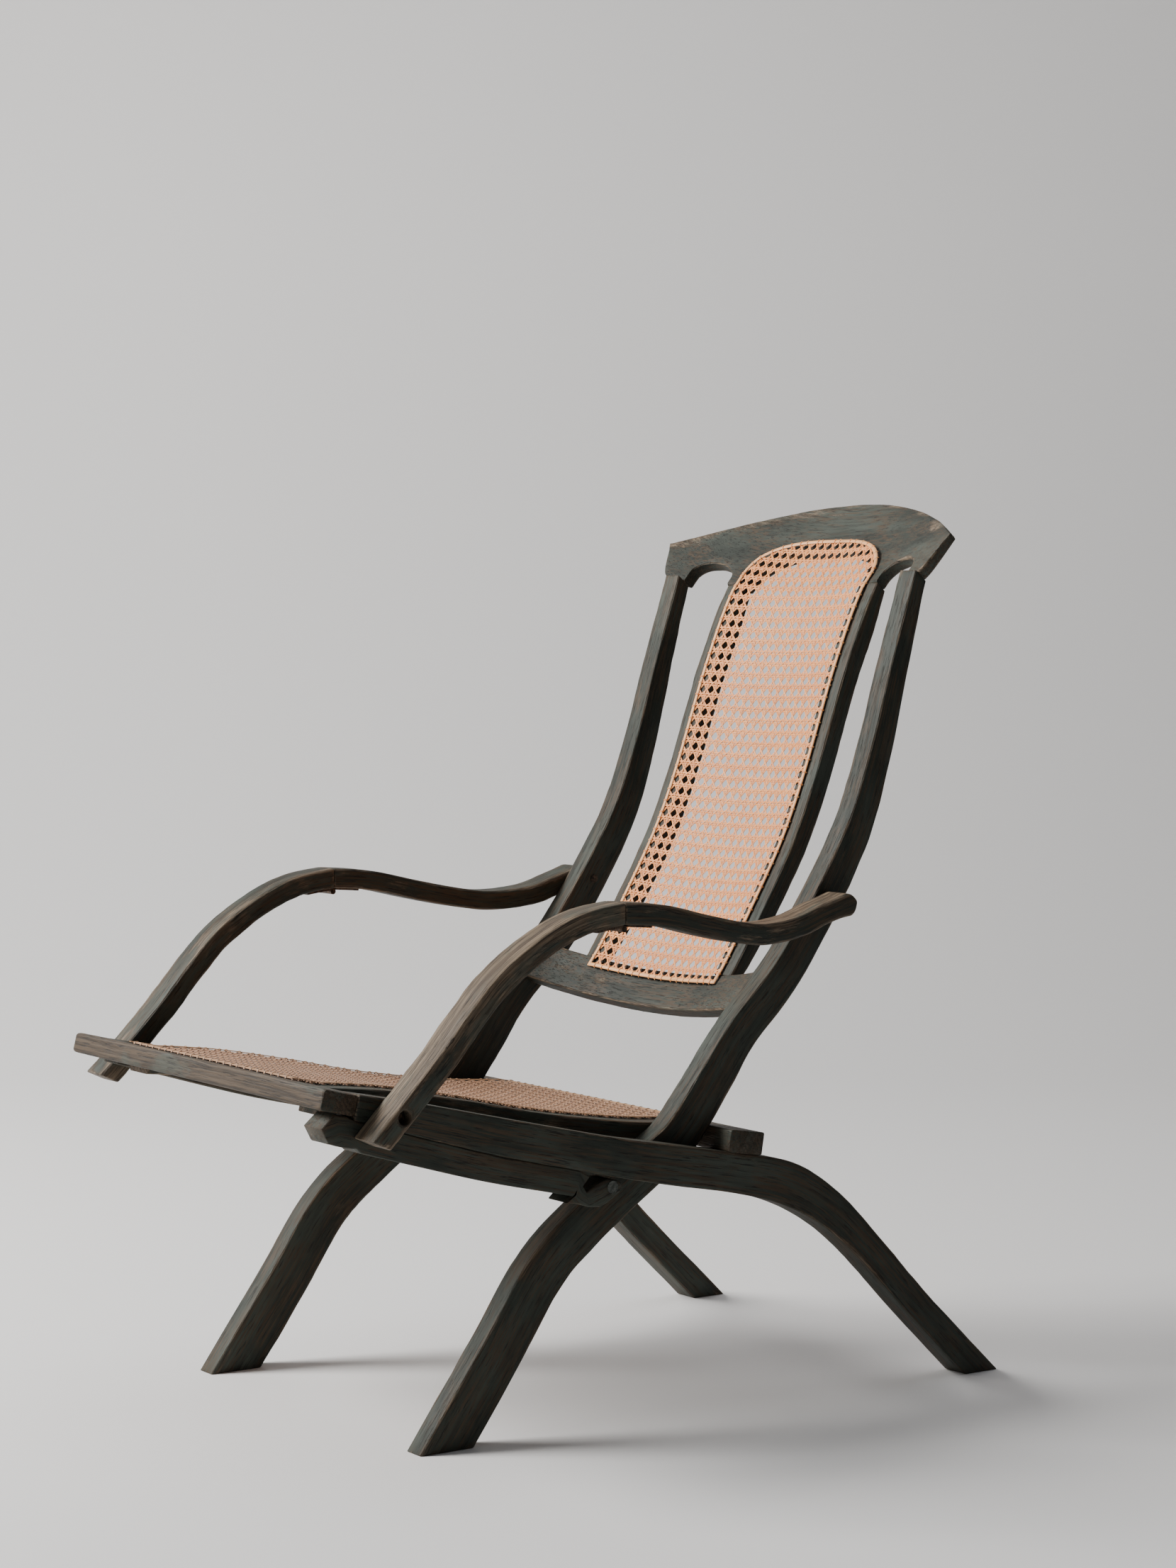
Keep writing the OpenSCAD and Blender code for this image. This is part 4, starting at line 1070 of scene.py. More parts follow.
@dataclass
class Caning:
    """Six-way caning on a surface, with its binder and the stitches that hold it.

    Pairs of uprights and pairs of crossings stand one at each hole and weave over and under each other. One
    diagonal each way cuts every corner between them, so that each opening is an octagon: the diagonals cross
    midway between two meetings of the pairs, one over the pair there and one under it.

    Attributes:
        half: Half the distance between the two side rows of holes.
        length: Run from the first row of holes to the last.
        columns: Spaces between holes across the caning.
        strand: Width of a strand, and thick is its thickness.
        apart: Half the distance between the two strands of a pair.
        weave: Rise of the pairs where they meet, and cross is the diagonals' rise.
    """

    plan: Plan
    shop: Workshop
    name: str
    body: Body
    half: float
    length: float
    columns: int
    strand: float = 2.0
    thick: float = 0.4
    apart: float = 1.25
    weave: float = 0.3
    cross: float = 0.48
    finish: str = "cane"
    edging: str = "binder"
    seed: int = 7

    @property
    def pitch(self) -> float:
        """Distance between two holes."""
        return 2 * self.half / self.columns

    def surface(self, x: Array, s: Array, h: Array) -> tuple[Array, Array]:
        """Place and outward direction at a distance across, a run up the caning and a height over it."""
        raise NotImplementedError

    def top(self, x: Array) -> Array:
        """End of the caning's run at a distance across."""
        return np.full(np.shape(x), self.length)

    def inside(self, x: Array, s: Array) -> Array:
        """True where a place is within the holes' outline."""
        return (abs(x) <= self.half) & (s >= 0) & (s <= self.top(np.clip(x, -self.half, self.half)))

    def stations(self, start: float, end: float, origin: float) -> Array:
        """Stations along a strand, close about each crossing and one between two crossings."""
        p, d = self.pitch, self.apart
        k = np.arange(math.floor((start - origin) / p) - 1, math.ceil((end - origin) / p) + 2)
        offsets = np.array([-p / 2, -d - 1.5, -d, 0.0, d, d + 1.5])
        t = (origin + k[:, None] * p + offsets).ravel()
        return np.concatenate([[start], t[(t > start + 0.4) & (t < end - 0.4)], [end]])

    def swing(self, t: Array, origin: float) -> Array:
        """Height of a woven strand: up at one strand of each pair it meets and down at the other.

        It is a sine of the offset from the pair's middle inside the pair, fading to zero between pairs.
        """
        offset = (t - origin + self.pitch / 2) % self.pitch - self.pitch / 2
        fade = np.clip((self.pitch / 2 - abs(offset)) / (self.pitch / 4), 0, 1)
        return np.clip(offset / self.apart, -1, 1) * fade

    def straight(self, family: Weave) -> bpy.types.Object:
        """Make the pairs of one upright or crossing family."""
        strands, rng = Strands(), np.random.default_rng(self.seed + (family is Weave.CROSSING))
        upright = family is Weave.UPRIGHT
        start, origin = (-self.half, 0.0) if upright else (0.0, -self.half)
        fine, shortest = 700, 12
        grid = np.linspace(0, self.length, fine) if upright else np.linspace(-self.half, self.half, fine)
        count = self.columns if upright else int(round(self.length / self.pitch))
        for k in range(1, count):
            for twin in (-1, 1):
                at = start + k * self.pitch + twin * self.apart + rng.normal(0, 0.1)
                level = np.full(fine, at)
                hit = np.flatnonzero(self.inside(level, grid) if upright else self.inside(grid, level))
                if len(hit) < shortest:
                    continue
                t = self.stations(grid[hit[0]], grid[hit[-1]], origin)
                lift = self.weave * self.swing(t, origin) * twin * (-1 if upright else 1)
                stray = rng.normal(0, 0.12) * np.sin(t / rng.uniform(40, 90) + rng.uniform(0, 6))
                x, s = (at + stray, t) if upright else (t, at + stray)
                place, normal = self.surface(*np.broadcast_arrays(x, s), lift)
                strands.add(place, normal, self.strand, self.thick, rng.uniform())
        return strands.piece(f"{self.name}_{family.value}")

    def diagonal(self, family: Weave) -> bpy.types.Object:
        """Make one family of diagonals, which run at one pitch up for each pitch across."""
        rising = family is Weave.RISING
        strands, rng = Strands(), np.random.default_rng(self.seed + (3 if rising else 4))
        lean = 1 if rising else -1
        fine, shortest = 900, 40
        grid = np.linspace(-self.half, self.half, fine)
        rows = int(self.length / self.pitch)
        for k in range(-self.columns, rows + 1 + self.columns):
            start = (k + 0.5) * self.pitch
            s = start + lean * (grid + self.half)
            hit = np.flatnonzero(self.inside(grid, s))
            if len(hit) < shortest:
                continue
            t = self.stations(grid[hit[0]], grid[hit[-1]], -self.half)
            lift = -lean * self.cross * np.cos(2 * np.pi * (t + self.half) / self.pitch)
            place, normal = self.surface(t, start + lean * (t + self.half) + rng.normal(0, 0.15), lift)
            strands.add(place, normal, self.strand * 1.05, self.thick, rng.uniform())
        return strands.piece(f"{self.name}_{family.value}")

    def border(self) -> list[tuple[Array, Array]]:
        """Runs of the binder: distances across and runs up the caning."""
        side = np.linspace(-4, self.length + 4, 60)
        end = np.linspace(-self.half, self.half, 50)
        return [(np.full_like(side, -self.half), side), (np.full_like(side, self.half), side),
                (end, np.zeros_like(end)), (end, np.full_like(end, self.length))]

    def binder(self) -> bpy.types.Object:
        """Make the binder over the holes and the stitches that hold it down, one a hole."""
        strands, rng = Strands(), np.random.default_rng(self.seed + 5)
        height, depth = 1.35, 0.16
        sweep = np.array([-3.3, -2.5, -1.2, 0, 1.2, 2.5, 3.3])
        rise = np.array([-1.3, 0.1, 0.72, 0.85, 0.72, 0.1, -1.3])
        for x, s in self.border():
            place, normal = self.surface(x, s, np.full(len(x), height))
            run = run_length(place)
            count = max(int(run[-1] / self.pitch), 2)
            pinch = depth * np.cos(2 * np.pi * run / run[-1] * count)
            strands.add(place + normal * -abs(pinch)[:, None], normal, width=4.6, thick=0.9,
                        tone=rng.uniform(0.2, 0.5))
            ray = unit(np.gradient(place, axis=0))
            for stop in (np.arange(count) + 0.5) / count * run[-1]:
                row = int(np.searchsorted(run, stop))
                across = np.cross(normal[row], ray[row])
                skew = sweep * rng.normal(0, 0.12)
                loop = (place[row] + sweep[:, None] * across + rise[:, None] * normal[row]
                        + skew[:, None] * ray[row])
                strands.add(loop, np.repeat(normal[row][None], len(sweep), axis=0), width=1.7, thick=0.35,
                            tone=rng.uniform(0.3, 1))
        return strands.piece(f"{self.name}_binder")

    def build(self) -> None:
        """Make the woven families and the binder, and let them stand for the net and its border in CAD."""
        woven = [self.straight(Weave.UPRIGHT), self.straight(Weave.CROSSING),
                 self.diagonal(Weave.RISING), self.diagonal(Weave.FALLING)]
        for piece in woven:
            self.shop.place(piece, self.body.value, Slot.CANE, self.finish, f"{self.name}_cane")
        self.shop.place(self.binder(), self.body.value, Slot.CANE, self.edging, f"{self.name}_binder")


@dataclass
class SeatCaning(Caning):
    """Caning of the seat, which dips a little in its middle; a run counts backward from the front holes."""

    def surface(self, x: Array, s: Array, h: Array) -> tuple[Array, Array]:
        """The seat's top face at that place, lowered by the dip, plus the height straight up."""
        p = self.plan
        y = p.seat_holes[0] + s
        seat, d, rail, start, edge = p.seat_line(5), p.nose_dir, p.rear_rail, p.seat_start, p.front_edge
        keep = (seat[:, 0] > start[0]) & (seat[:, 0] < rail[0] - 4)
        fall = p.z.rear_d * math.tan(math.radians(p.z.rear_tilt))
        line = np.vstack([[edge, start[1] - (p.nose[0] - edge) * d[1] / d[0]], seat[keep, :2], rail,
                          rail + [p.z.rear_d, fall]])
        a, b = p.nose[0] + 6, rail[0] - 6
        u = np.clip(1 - (x / p.z.caned_in) ** 2, 0, None)
        v = np.clip(1 - ((2 * y - a - b) / (b - a)) ** 2, 0, None)
        above, dip = 1.15, 5
        z = np.interp(y, line[:, 0], line[:, 1]) + above - dip * u * v + h
        return p.place(x, np.stack([y, z], axis=-1)), np.broadcast_to([0.0, 0.0, 1.0], x.shape + (3,))


@dataclass
class BackCaning(Caning):
    """Caning of the back, arched at its head; a run counts up the stiles' faces from the lower rail."""

    face: Array = field(default_factory=lambda: np.zeros((2, 2)))

    def top(self, x: Array) -> Array:
        """The arch over the caning: the side's length plus a bulging arc of the distance across."""
        arch = self.plan.z.arch_s - self.plan.z.stile_s
        u = np.clip(abs(x) / self.half, 0, 1)
        return self.length - arch + arch * np.sqrt(np.clip(1 - u ** 2.67, 0, 1))

    def surface(self, x: Array, s: Array, h: Array) -> tuple[Array, Array]:
        """The stiles' face at that run, bowed back between them, plus the height square to it."""
        p = self.plan
        run = run_length(self.face)
        s = s + 2

        def along(t: Array) -> Array:
            """Side-view place at a run up the face."""
            return np.stack([np.interp(t, run, self.face[:, 0]), np.interp(t, run, self.face[:, 1])], axis=-1)

        step, above, head = 4, 1.25, 0.27
        ray = unit(along(np.minimum(s + step, run[-1])) - along(np.maximum(s - step, 0)))
        square = np.stack([ray[..., 1], -ray[..., 0]], axis=-1)
        v = np.clip(s / run[-1], 0, 1)
        bow = np.clip(p.z.stile_in ** 2 - x ** 2, 0, None) / 2 * ((1 - v) / p.lower_r + v / p.crest_r)
        lift = p.z.head_lift * np.clip((v - (1 - head)) / head, 0, 1)
        flat = along(s) + square * (bow - above - lift - h)[..., None]
        normal = np.stack([np.zeros_like(v), -square[..., 0], -square[..., 1]], axis=-1)
        return p.place(x, flat), normal

    def border(self) -> list[tuple[Array, Array]]:
        """Runs of the binder: both sides, the foot, and the arch at the head."""
        z = self.plan.z
        side = np.linspace(-3, self.length - (z.arch_s - z.stile_s) + 1, 70)
        end = np.linspace(-self.half, self.half, 40)
        turn = np.radians(np.linspace(0, 180, 70))
        x = self.half * np.sign(np.cos(turn)) * abs(np.cos(turn)) ** z.arch_power
        return [(np.full_like(side, -self.half), side), (np.full_like(side, self.half), side),
                (end, np.zeros_like(end)), (x, self.top(x))]


def back_caning(plan: Plan, shop: Workshop) -> BackCaning:
    """Work out the back caning's face line and length from the plan."""
    x, past = 113.0, 13
    low = plan.lower_end + (plan.z.lower_h - past) * plan.up_slope + plan.lower_back(x) * plan.off_slope
    head = plan.post_top + (plan.z.arch_s + past) * plan.up_slope + plan.crest_back(x) * plan.off_slope
    line = plan.stile_line(5)
    keep = (line[:, 1] > plan.stile_foot[1]) & (line[:, 1] < plan.stile_head[1])
    face = np.vstack([low, line[keep, :2], head])
    length = float(run_length(face)[-1]) - 4
    return BackCaning(plan, shop, "back", Body.BACK, half=111.0, length=length, columns=17, face=face)


# Finishes

class Tree:
    """Short writer for one node tree."""

    def __init__(self, tree: bpy.types.NodeTree) -> None:
        """Take an empty tree."""
        self.tree = tree

    def add(self, kind: str, feeds: dict[str | int, object] | None = None,
            **settings: object) -> bpy.types.Node:
        """Add a node.

        Args:
            kind: Blender's name of the node without ShaderNode before it.
            feeds: Values or other nodes' sockets for its inputs, by name or number.
            settings: Properties of the node.

        Returns:
            The node.
        """
        node = self.tree.nodes.new("ShaderNode" + kind)
        for key, value in settings.items():
            setattr(node, key, value)
        for key, value in (feeds or {}).items():
            self.feed(node.inputs[key], value)
        return node

    def feed(self, socket: bpy.types.NodeSocket, value: object) -> None:
        """Link another node's socket to an input, or set the input to a value."""
        if isinstance(value, bpy.types.NodeSocket):
            self.tree.links.new(value, socket)
        else:
            socket.default_value = value

    def math(self, operation: str, a: object, b: object = 0.0, clamp: bool = False) -> bpy.types.NodeSocket:
        """Add a Math node and return its output."""
        return self.add("Math", {0: a, 1: b}, operation=operation, use_clamp=clamp).outputs[0]

    def noise(self, vector: object, scale: float, detail: float, rough: float) -> bpy.types.NodeSocket:
        """Add a Noise Texture and return its value."""
        return self.add("TexNoise", {"Vector": vector, "Scale": scale, "Detail": detail,
                                     "Roughness": rough}).outputs["Fac"]

    def stretch(self, vector: object, by: tuple[float, float, float]) -> bpy.types.NodeSocket:
        """Multiply a vector by three factors."""
        return self.add("VectorMath", {0: vector, 1: by}, operation="MULTIPLY").outputs[0]

    def ramp(self, value: object, low: float, high: float) -> bpy.types.NodeSocket:
        """Map a range to 0 to 1 with soft ends."""
        return self.add("MapRange", {"Value": value, "From Min": low, "From Max": high},
                        interpolation_type="SMOOTHSTEP").outputs["Result"]

    def mask(self, value: object, low: float, high: float, most: float) -> bpy.types.NodeSocket:
        """Map a range to 0 to the most, with soft ends."""
        return self.math("MULTIPLY", self.ramp(value, low, high), most)

    def mix(self, factor: object, a: object, b: object) -> bpy.types.NodeSocket:
        """Mix two colours."""
        return self.add("Mix", {0: factor, 6: a, 7: b}, data_type="RGBA").outputs[2]

    def bump(self, height: object, strength: float, distance: float) -> bpy.types.NodeSocket:
        """Add a Bump node and return its normal."""
        return self.add("Bump", {"Strength": strength, "Distance": distance, "Height": height}).outputs[0]

    def surface(self, feeds: dict[str, object]) -> None:
        """Add the shader and the material's output."""
        shader = self.add("BsdfPrincipled", feeds)
        self.add("OutputMaterial", {0: shader.outputs[0]})


def new_material(name: str) -> tuple[bpy.types.Material, Tree]:
    """Start a material with an empty tree, and hand over both."""
    material = bpy.data.materials.new(name)
    material.use_nodes = True
    material.node_tree.nodes.clear()
    return material, Tree(material.node_tree)


def new_group(name: str, inputs: dict[str, tuple[str, object]],
              outputs: dict[str, str]) -> tuple[Tree, bpy.types.Node, bpy.types.Node]:
    """Start a node group with named sockets.

    Args:
        name: Name of the group.
        inputs: Kind and first value of each input, by name.
        outputs: Kind of each output, by name.

    Returns:
        Its writer, its input node and its output node.
    """
    group = bpy.data.node_groups.new(name, "ShaderNodeTree")
    for label, (kind, value) in inputs.items():
        socket = group.interface.new_socket(label, in_out="INPUT", socket_type="NodeSocket" + kind)
        if value is not None:
            socket.default_value = value
    for label, kind in outputs.items():
        group.interface.new_socket(label, in_out="OUTPUT", socket_type="NodeSocket" + kind)
    return Tree(group), group.nodes.new("NodeGroupInput"), group.nodes.new("NodeGroupOutput")


def grain_group() -> bpy.types.NodeTree:
    """Grain of an open-pored board: growth rings about a far pith, long streaks and short dark pores."""
    t, source, sink = new_group("board_grain", {"Grain": ("Vector", None)},
                                {"Rings": "Float", "Streaks": "Float", "Lines": "Float", "Pores": "Float"})
    grain = source.outputs["Grain"]
    slow = t.stretch(grain, (1.0, 1.0, 0.07))
    bend = t.add("VectorMath", {0: t.add("TexNoise", {"Vector": t.stretch(grain, (6, 6, 1.3)), "Scale": 2.0,
                                                      "Detail": 2.0}).outputs["Color"],
                                1: (0.012, 0.012, 0.0)}, operation="MULTIPLY").outputs[0]
    moved = t.add("VectorMath", {0: slow, 1: bend}, operation="ADD").outputs[0]
    rings = t.add("TexWave", {"Vector": moved, "Scale": 62.0, "Distortion": 2.2, "Detail": 3.0,
                              "Detail Scale": 2.0}, wave_type="RINGS", rings_direction="Z").outputs["Fac"]
    streaks = t.noise(t.stretch(grain, (1.0, 1.0, 0.03)), 210.0, 4.0, 0.6)
    lines = t.noise(t.stretch(grain, (1.0, 1.0, 0.03)), 560.0, 3.0, 0.6)
    pores = t.ramp(t.noise(t.stretch(grain, (1.0, 1.0, 0.045)), 900.0, 2.0, 0.5), 0.58, 0.68)
    for label, value in (("Rings", rings), ("Streaks", streaks), ("Lines", lines), ("Pores", pores)):
        t.tree.links.new(value, sink.inputs[label])
    return t.tree


def wear_group() -> bpy.types.NodeTree:
    """Where paint has worn off: along arrises as far as a noise reaches, and in patches on bare pieces."""
    t, source, sink = new_group(
        "edge_wear",
        {"Grain": ("Vector", None), "Wear": ("Vector", None), "Reach": ("Float", 4.0),
         "Patches": ("Float", 0.3)},
        {"Bare": "Float", "Rubbed": "Float"})
    grain, split = source.outputs["Grain"], t.add("SeparateXYZ", {0: source.outputs["Wear"]})
    broad = t.noise(t.stretch(grain, (1.0, 1.0, 0.35)), 26.0, 5.0, 0.65)
    fine = t.noise(t.stretch(grain, (1.0, 1.0, 0.12)), 160.0, 4.0, 0.6)
    mixed = t.math("ADD", t.math("MULTIPLY", broad, 0.75), t.math("MULTIPLY", fine, 0.25))
    limit = t.math("MULTIPLY", t.ramp(mixed, 0.38, 0.68), source.outputs["Reach"])
    edge = t.math("MULTIPLY", t.math("SUBTRACT", limit, split.outputs["X"]), 0.8, clamp=True)
    worn = t.noise(t.stretch(grain, (1.0, 1.0, 0.22)), 42.0, 7.0, 0.68)
    level = t.math("ADD", source.outputs["Patches"], split.outputs["Y"])
    patch = t.ramp(t.math("ADD", worn, t.math("MULTIPLY", level, 0.42)), 0.66, 0.78)
    rubbed = t.ramp(t.math("SUBTRACT", t.math("MULTIPLY", limit, 2.4), split.outputs["X"]), 0.0, 5.0)
    t.tree.links.new(t.math("MAXIMUM", edge, patch), sink.inputs["Bare"])
    t.tree.links.new(rubbed, sink.inputs["Rubbed"])
    return t.tree


Colour = tuple[float, float, float, float]


@dataclass(frozen=True)
class WoodFinish:
    """Worn paint over a weathered board.

    Attributes:
        paint: The paint's colour.
        faded: The paint where it has faded.
        brown: The paint where it is rubbed thin over the wood.
        grime: Dirt in the pores and hollows.
        wood: The bare board, weathered grey.
        late: The board's dark furrows.
        reach: How far wear runs in from an arris, in millimetres.
        patches: How much of the faces is bare.
    """

    paint: Colour = (0.017, 0.022, 0.016, 1)
    faded: Colour = (0.050, 0.059, 0.047, 1)
    brown: Colour = (0.062, 0.039, 0.021, 1)
    grime: Colour = (0.006, 0.005, 0.004, 1)
    wood: Colour = (0.200, 0.148, 0.097, 1)
    late: Colour = (0.042, 0.028, 0.018, 1)
    reach: float = 3.2
    patches: float = 0.0

    def build(self, name: str, grain: bpy.types.NodeTree, wear: bpy.types.NodeTree) -> bpy.types.Material:
        """Make the material.

        Args:
            name: Its name.
            grain: The group for board grain.
            wear: The group for edge wear.

        Returns:
            The material.
        """
        material, t = new_material(name)
        run = t.add("Attribute", attribute_name="grain").outputs["Vector"]
        rim = t.add("Attribute", attribute_name="wear").outputs["Vector"]
        board = t.add("Group", {"Grain": run}, node_tree=grain)
        rub = t.add("Group", {"Grain": run, "Wear": rim, "Reach": self.reach, "Patches": self.patches},
                    node_tree=wear)
        bare = rub.outputs["Bare"]
        rings, streaks, lines, pores = (board.outputs[k] for k in ("Rings", "Streaks", "Lines", "Pores"))
        cloud = t.noise(t.stretch(run, (1.0, 1.0, 0.3)), 14.0, 4.0, 0.6)
        drift = t.noise(t.stretch(run, (1.0, 1.0, 0.4)), 33.0, 5.0, 0.65)
        wood = t.mix(t.mask(rings, 0.35, 0.95, 0.55), self.wood, self.late)
        wood = t.mix(t.mask(streaks, 0.38, 0.66, 0.6), wood, self.brown)
        wood = t.mix(t.mask(lines, 0.47, 0.64, 0.8), wood, self.late)
        wood = t.mix(t.mask(drift, 0.50, 0.62, 0.65), wood, self.faded)
        paint = t.mix(t.ramp(cloud, 0.38, 0.62), self.paint, self.faded)
        thin = t.math("MULTIPLY", t.ramp(lines, 0.42, 0.60), t.ramp(drift, 0.38, 0.54))
        paint = t.mix(t.math("MULTIPLY", thin, 0.85), paint, self.brown)
        paint = t.mix(t.math("MULTIPLY", rub.outputs["Rubbed"], 0.6), paint, self.brown)
        paint = t.mix(t.mask(streaks, 0.45, 0.78, 0.5), paint, self.grime)
        skin = t.mix(bare, paint, wood)
        skin = t.mix(t.math("MULTIPLY", pores, 0.8), skin, self.grime)
        rough = t.math("ADD", t.math("MULTIPLY", streaks, 0.28), 0.48)
        furrows = t.math("MULTIPLY", t.math("ADD", lines, t.math("MULTIPLY", streaks, 0.8)), bare)
        lift = t.math("SUBTRACT", t.math("MULTIPLY", bare, -0.4), pores)
        lift = t.math("SUBTRACT", lift, t.math("MULTIPLY", furrows, 1.6))
        lift = t.math("ADD", lift, t.math("MULTIPLY", streaks, 0.5))
        t.surface({"Base Color": skin, "Roughness": rough, "Normal": t.bump(lift, 0.55, 0.0007),
                   "Specular IOR Level": 0.3})
        return material


@dataclass(frozen=True)
class CaneFinish:
    """Peeled cane with its glossy bark: pale strands that differ in shade, with fine lengthwise lines.

    Attributes:
        pale: Colour of the palest strands.
        ripe: Colour of the deepest strands and of the lines.
        stain_and_edge_shade: Stains, and the painted shade along the strands' edges.
    """

    pale: Colour = (0.95, 0.385, 0.115, 1)
    ripe: Colour = (0.79, 0.265, 0.068, 1)
    stain_and_edge_shade: Colour = (0.32, 0.11, 0.032, 1)

    def build(self, name: str) -> bpy.types.Material:
        """Make the material under a name."""
        material, t = new_material(name)
        run = t.add("Attribute", attribute_name="run").outputs["Vector"]
        split = t.add("SeparateXYZ", {0: run})
        lines = t.noise(t.stretch(run, (9.0, 5.0, 13.0)), 1.6, 3.0, 0.6)
        stain = t.noise(t.stretch(run, (0.5, 30.0, 17.0)), 1.0, 4.0, 0.65)
        colour = t.mix(split.outputs["Z"], self.pale, self.ripe)
        colour = t.mix(t.mask(stain, 0.5, 0.8, 0.6), colour, self.stain_and_edge_shade)
        colour = t.mix(t.mask(lines, 0.45, 0.8, 0.45), colour, self.ripe)
        # Painted shade: each strand darkens toward the stain colour at its two edges, away from its middle,
        # standing in for the shade on its sides.
        colour = t.mix(t.mask(t.math("ABSOLUTE", split.outputs["X"]), 0.3, 0.5, 0.5), colour, self.stain_and_edge_shade)
        rough = t.math("ADD", t.math("MULTIPLY", lines, 0.3), 0.28)
        t.surface({"Base Color": colour, "Roughness": rough, "Normal": t.bump(lines, 0.3, 0.0002),
                   "Specular IOR Level": 0.5})
        return material


@dataclass(frozen=True)
class SolidFinish:
    """Finish of a small CAD piece, worked out from Object coordinates.

    Attributes:
        dark: Its darker colour.
        light: Its lighter colour.
        metal: How metallic it is.
        rough: Its mean roughness.
        scale: Size of its mottling.
    """

    dark: Colour = (0.030, 0.022, 0.017, 1)
    light: Colour = (0.135, 0.085, 0.055, 1)
    metal: float = 0.7
    rough: float = 0.5
    scale: float = 260.0

    def build(self, name: str) -> bpy.types.Material:
        """Make the material under a name."""
        material, t = new_material(name)
        place = t.add("TexCoord").outputs["Object"]
        mottle = t.noise(place, self.scale, 5.0, 0.65)
        fine = t.noise(place, self.scale * 6, 2.0, 0.5)
        colour = t.mix(t.ramp(mottle, 0.38, 0.66), self.dark, self.light)
        rough = t.math("ADD", t.math("MULTIPLY", mottle, 0.4), self.rough - 0.2)
        t.surface({"Base Color": colour, "Roughness": rough, "Metallic": self.metal,
                   "Normal": t.bump(t.math("ADD", mottle, fine), 0.4, 0.0003)})
        return material


def make_finishes() -> dict[str, bpy.types.Material]:
    """Make every finish of the chair, by name."""
    grain, wear = grain_group(), wear_group()
    return {
        "paint": WoodFinish().build("worn_paint", grain, wear),
        "bare": WoodFinish(wood=(0.080, 0.057, 0.037, 1), late=(0.020, 0.014, 0.009, 1), reach=5.0,
                           patches=0.30).build("bare_board", grain, wear),
        "arm": WoodFinish(reach=5.0, patches=0.20).build("handled_arm", grain, wear),
        "cane": CaneFinish().build("cane_strands"),
        "seat_cane": CaneFinish(pale=(0.50, 0.285, 0.165, 1), ripe=(0.36, 0.19, 0.105, 1),
                                stain_and_edge_shade=(0.15, 0.072, 0.038, 1)).build("worn_cane_strands"),
        "binder": CaneFinish(pale=(0.90, 0.53, 0.24, 1)).build("cane_binder"),
        "seat_binder": CaneFinish(pale=(0.52, 0.30, 0.16, 1), ripe=(0.34, 0.18, 0.09, 1),
                                  stain_and_edge_shade=(0.12, 0.06, 0.03, 1)).build("worn_cane_binder"),
        "iron": SolidFinish().build("dull_iron"),
        "peg": SolidFinish(dark=(0.025, 0.03, 0.026, 1), light=(0.10, 0.11, 0.095, 1), metal=0.0,
                           rough=0.65).build("peg_end"),
    }


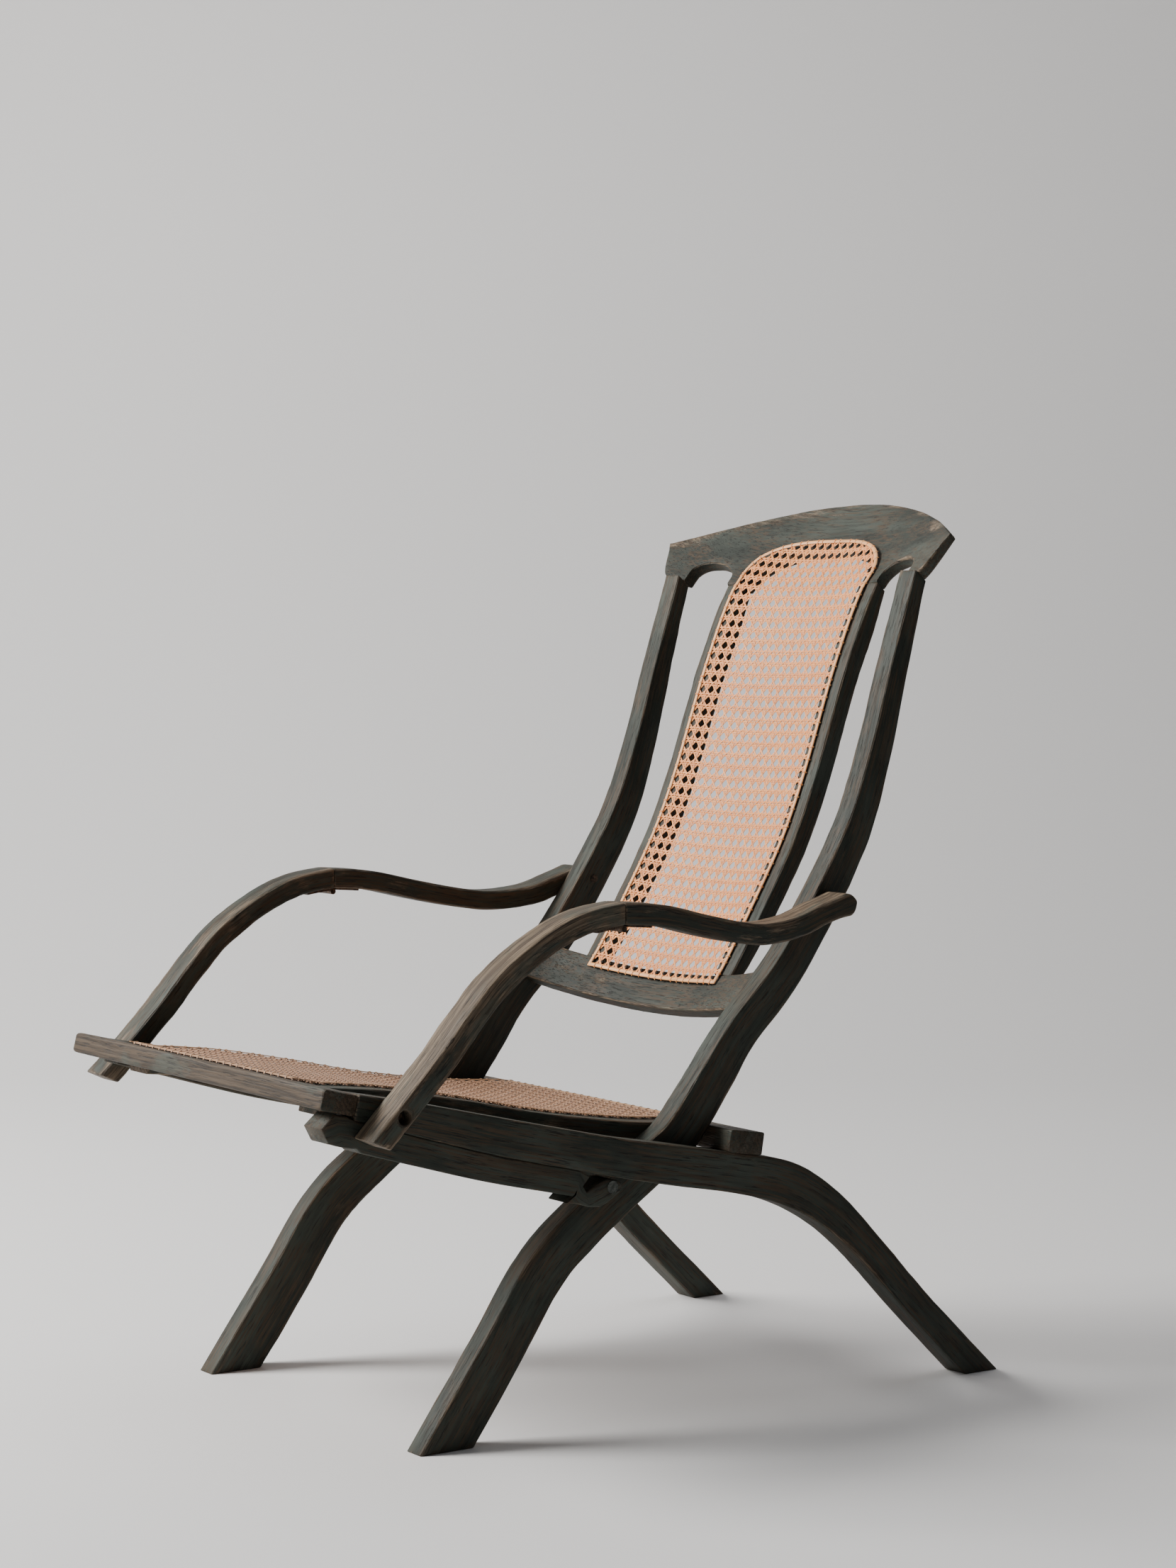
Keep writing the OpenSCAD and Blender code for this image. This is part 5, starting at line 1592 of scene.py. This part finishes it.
@dataclass
class Studio:
    """Pale floor and backdrop, soft lights and the camera at the photograph's angle."""

    eye: tuple[float, float, float] = (2.74418, -1.88129, 0.76403)
    azimuth: float = 54.93
    pitch: float = 2.63
    roll: float = 0.12
    lens: float = 74.35

    def backdrop(self) -> None:
        """Make the floor and a backdrop that rises from it in one curve, square to the view.

        The profile is flat, then a quarter circle of 1.6 m radius, then upright.
        """
        a = math.radians(self.azimuth)
        ahead, beside = np.array([-math.sin(a), math.cos(a)]), np.array([math.cos(a), math.sin(a)])
        turn = np.radians(np.linspace(0, 90, 24))
        near, flat, bend, top, steps = -6.0, 2.2, 1.6, 6.0, 12
        far = np.concatenate([np.linspace(near, flat, steps), flat + bend * np.sin(turn[1:]), [flat + bend]])
        high = np.concatenate([np.zeros(steps), bend * (1 - np.cos(turn[1:])), [top]])
        wide = np.array([-8.0, 8.0])
        ground = far[:, None, None] * ahead + wide[None, :, None] * beside
        points = np.concatenate([ground, np.broadcast_to(high[:, None, None], (len(far), 2, 1))], axis=-1)
        i = np.arange(len(far) - 1)
        faces = np.stack([2 * i, 2 * i + 1, 2 * i + 3, 2 * i + 2], axis=-1)
        mesh = bpy.data.meshes.new("backdrop")
        mesh.from_pydata(points.reshape(-1, 3).tolist(), [], faces.tolist())
        floor = finish_mesh(mesh, merge=False)
        material = bpy.data.materials.new("pale_floor")
        material.use_nodes = True
        shader = material.node_tree.nodes["Principled BSDF"]
        shader.inputs["Base Color"].default_value = (0.80, 0.79, 0.785, 1)
        shader.inputs["Roughness"].default_value = 0.75
        mesh.materials.append(material)

    def lamp(self, name: str, place: tuple[float, float, float], size: float, power: float,
             colour: tuple[float, float, float]) -> None:
        """Hang one soft square lamp that faces the chair."""
        data = bpy.data.lights.new(name, "AREA")
        data.size = size
        data.energy = power
        data.color = colour
        lamp = bpy.data.objects.new(name, data)
        bpy.context.scene.collection.objects.link(lamp)
        aim = Vector((0, 0, 0.45)) - Vector(place)
        lamp.location = place
        lamp.rotation_euler = aim.to_track_quat("-Z", "Y").to_euler()

    def camera(self) -> None:
        """Set up the camera from its fitted place, directions and lens."""
        a, e = math.radians(self.azimuth), math.radians(self.pitch)
        ahead = Vector((-math.sin(a) * math.cos(e), math.cos(a) * math.cos(e), -math.sin(e)))
        right = Vector((math.cos(a), math.sin(a), 0))
        up = right.cross(ahead)
        turn = Matrix((right, up, -ahead)).transposed() @ Matrix.Rotation(math.radians(self.roll), 3, "Z")
        data = bpy.data.cameras.new("camera")
        data.lens = self.lens
        data.sensor_width = 36.0
        data.sensor_fit = "AUTO"
        camera = bpy.data.objects.new("camera", data)
        camera.matrix_world = Matrix.Translation(self.eye) @ turn.to_4x4()
        bpy.context.scene.collection.objects.link(camera)
        bpy.context.scene.camera = camera

    def build(self) -> None:
        """Make the whole studio."""
        self.backdrop()
        self.lamp("key", (-2.1, -2.75, 2.75), 1.9, 350.0, (1.0, 0.985, 0.96))
        self.lamp("overhead", (-0.4, 0.2, 3.6), 3.0, 34.0, (0.97, 0.98, 1.0))
        world = bpy.data.worlds.new("studio")
        world.use_nodes = True
        sky = world.node_tree.nodes["Background"]
        sky.inputs["Color"].default_value = (0.88, 0.90, 0.93, 1)
        sky.inputs["Strength"].default_value = 0.10
        bpy.context.scene.world = world
        self.camera()


def main() -> None:
    """Build the chair's looks sub-assembly by sub-assembly, then the studio."""
    plan = Plan()
    shop = Workshop(make_finishes())
    SeatFrame(plan, shop).build()
    BackFrame(plan, shop).build()
    for side in Side:
        ArmLinkage(plan, shop, side).build()
    front, rear = plan.seat_holes
    SeatCaning(plan, shop, "seat", Body.SEAT, half=161.5, length=float(rear - front), columns=25, thick=0.5,
               weave=0.55, cross=0.95, finish="seat_cane", edging="seat_binder").build()
    back_caning(plan, shop).build()
    for node in ("pivot_pins", "arm_bolts", "arm_pins"):
        shop.dress(node, "iron")
    for side in Side:
        for node in ("hinge_leaf_front", "hinge_leaf_rear", "hinge_pin"):
            shop.dress(f"{node}_{side.word}", "iron")
    for node in ("batten_peg", "frame_dowels", "crest_tenons"):
        shop.dress(node, "peg")
    Studio().build()
    LOG.info("%d pieces made", shop.count)


if __name__ == "__main__":
    main()
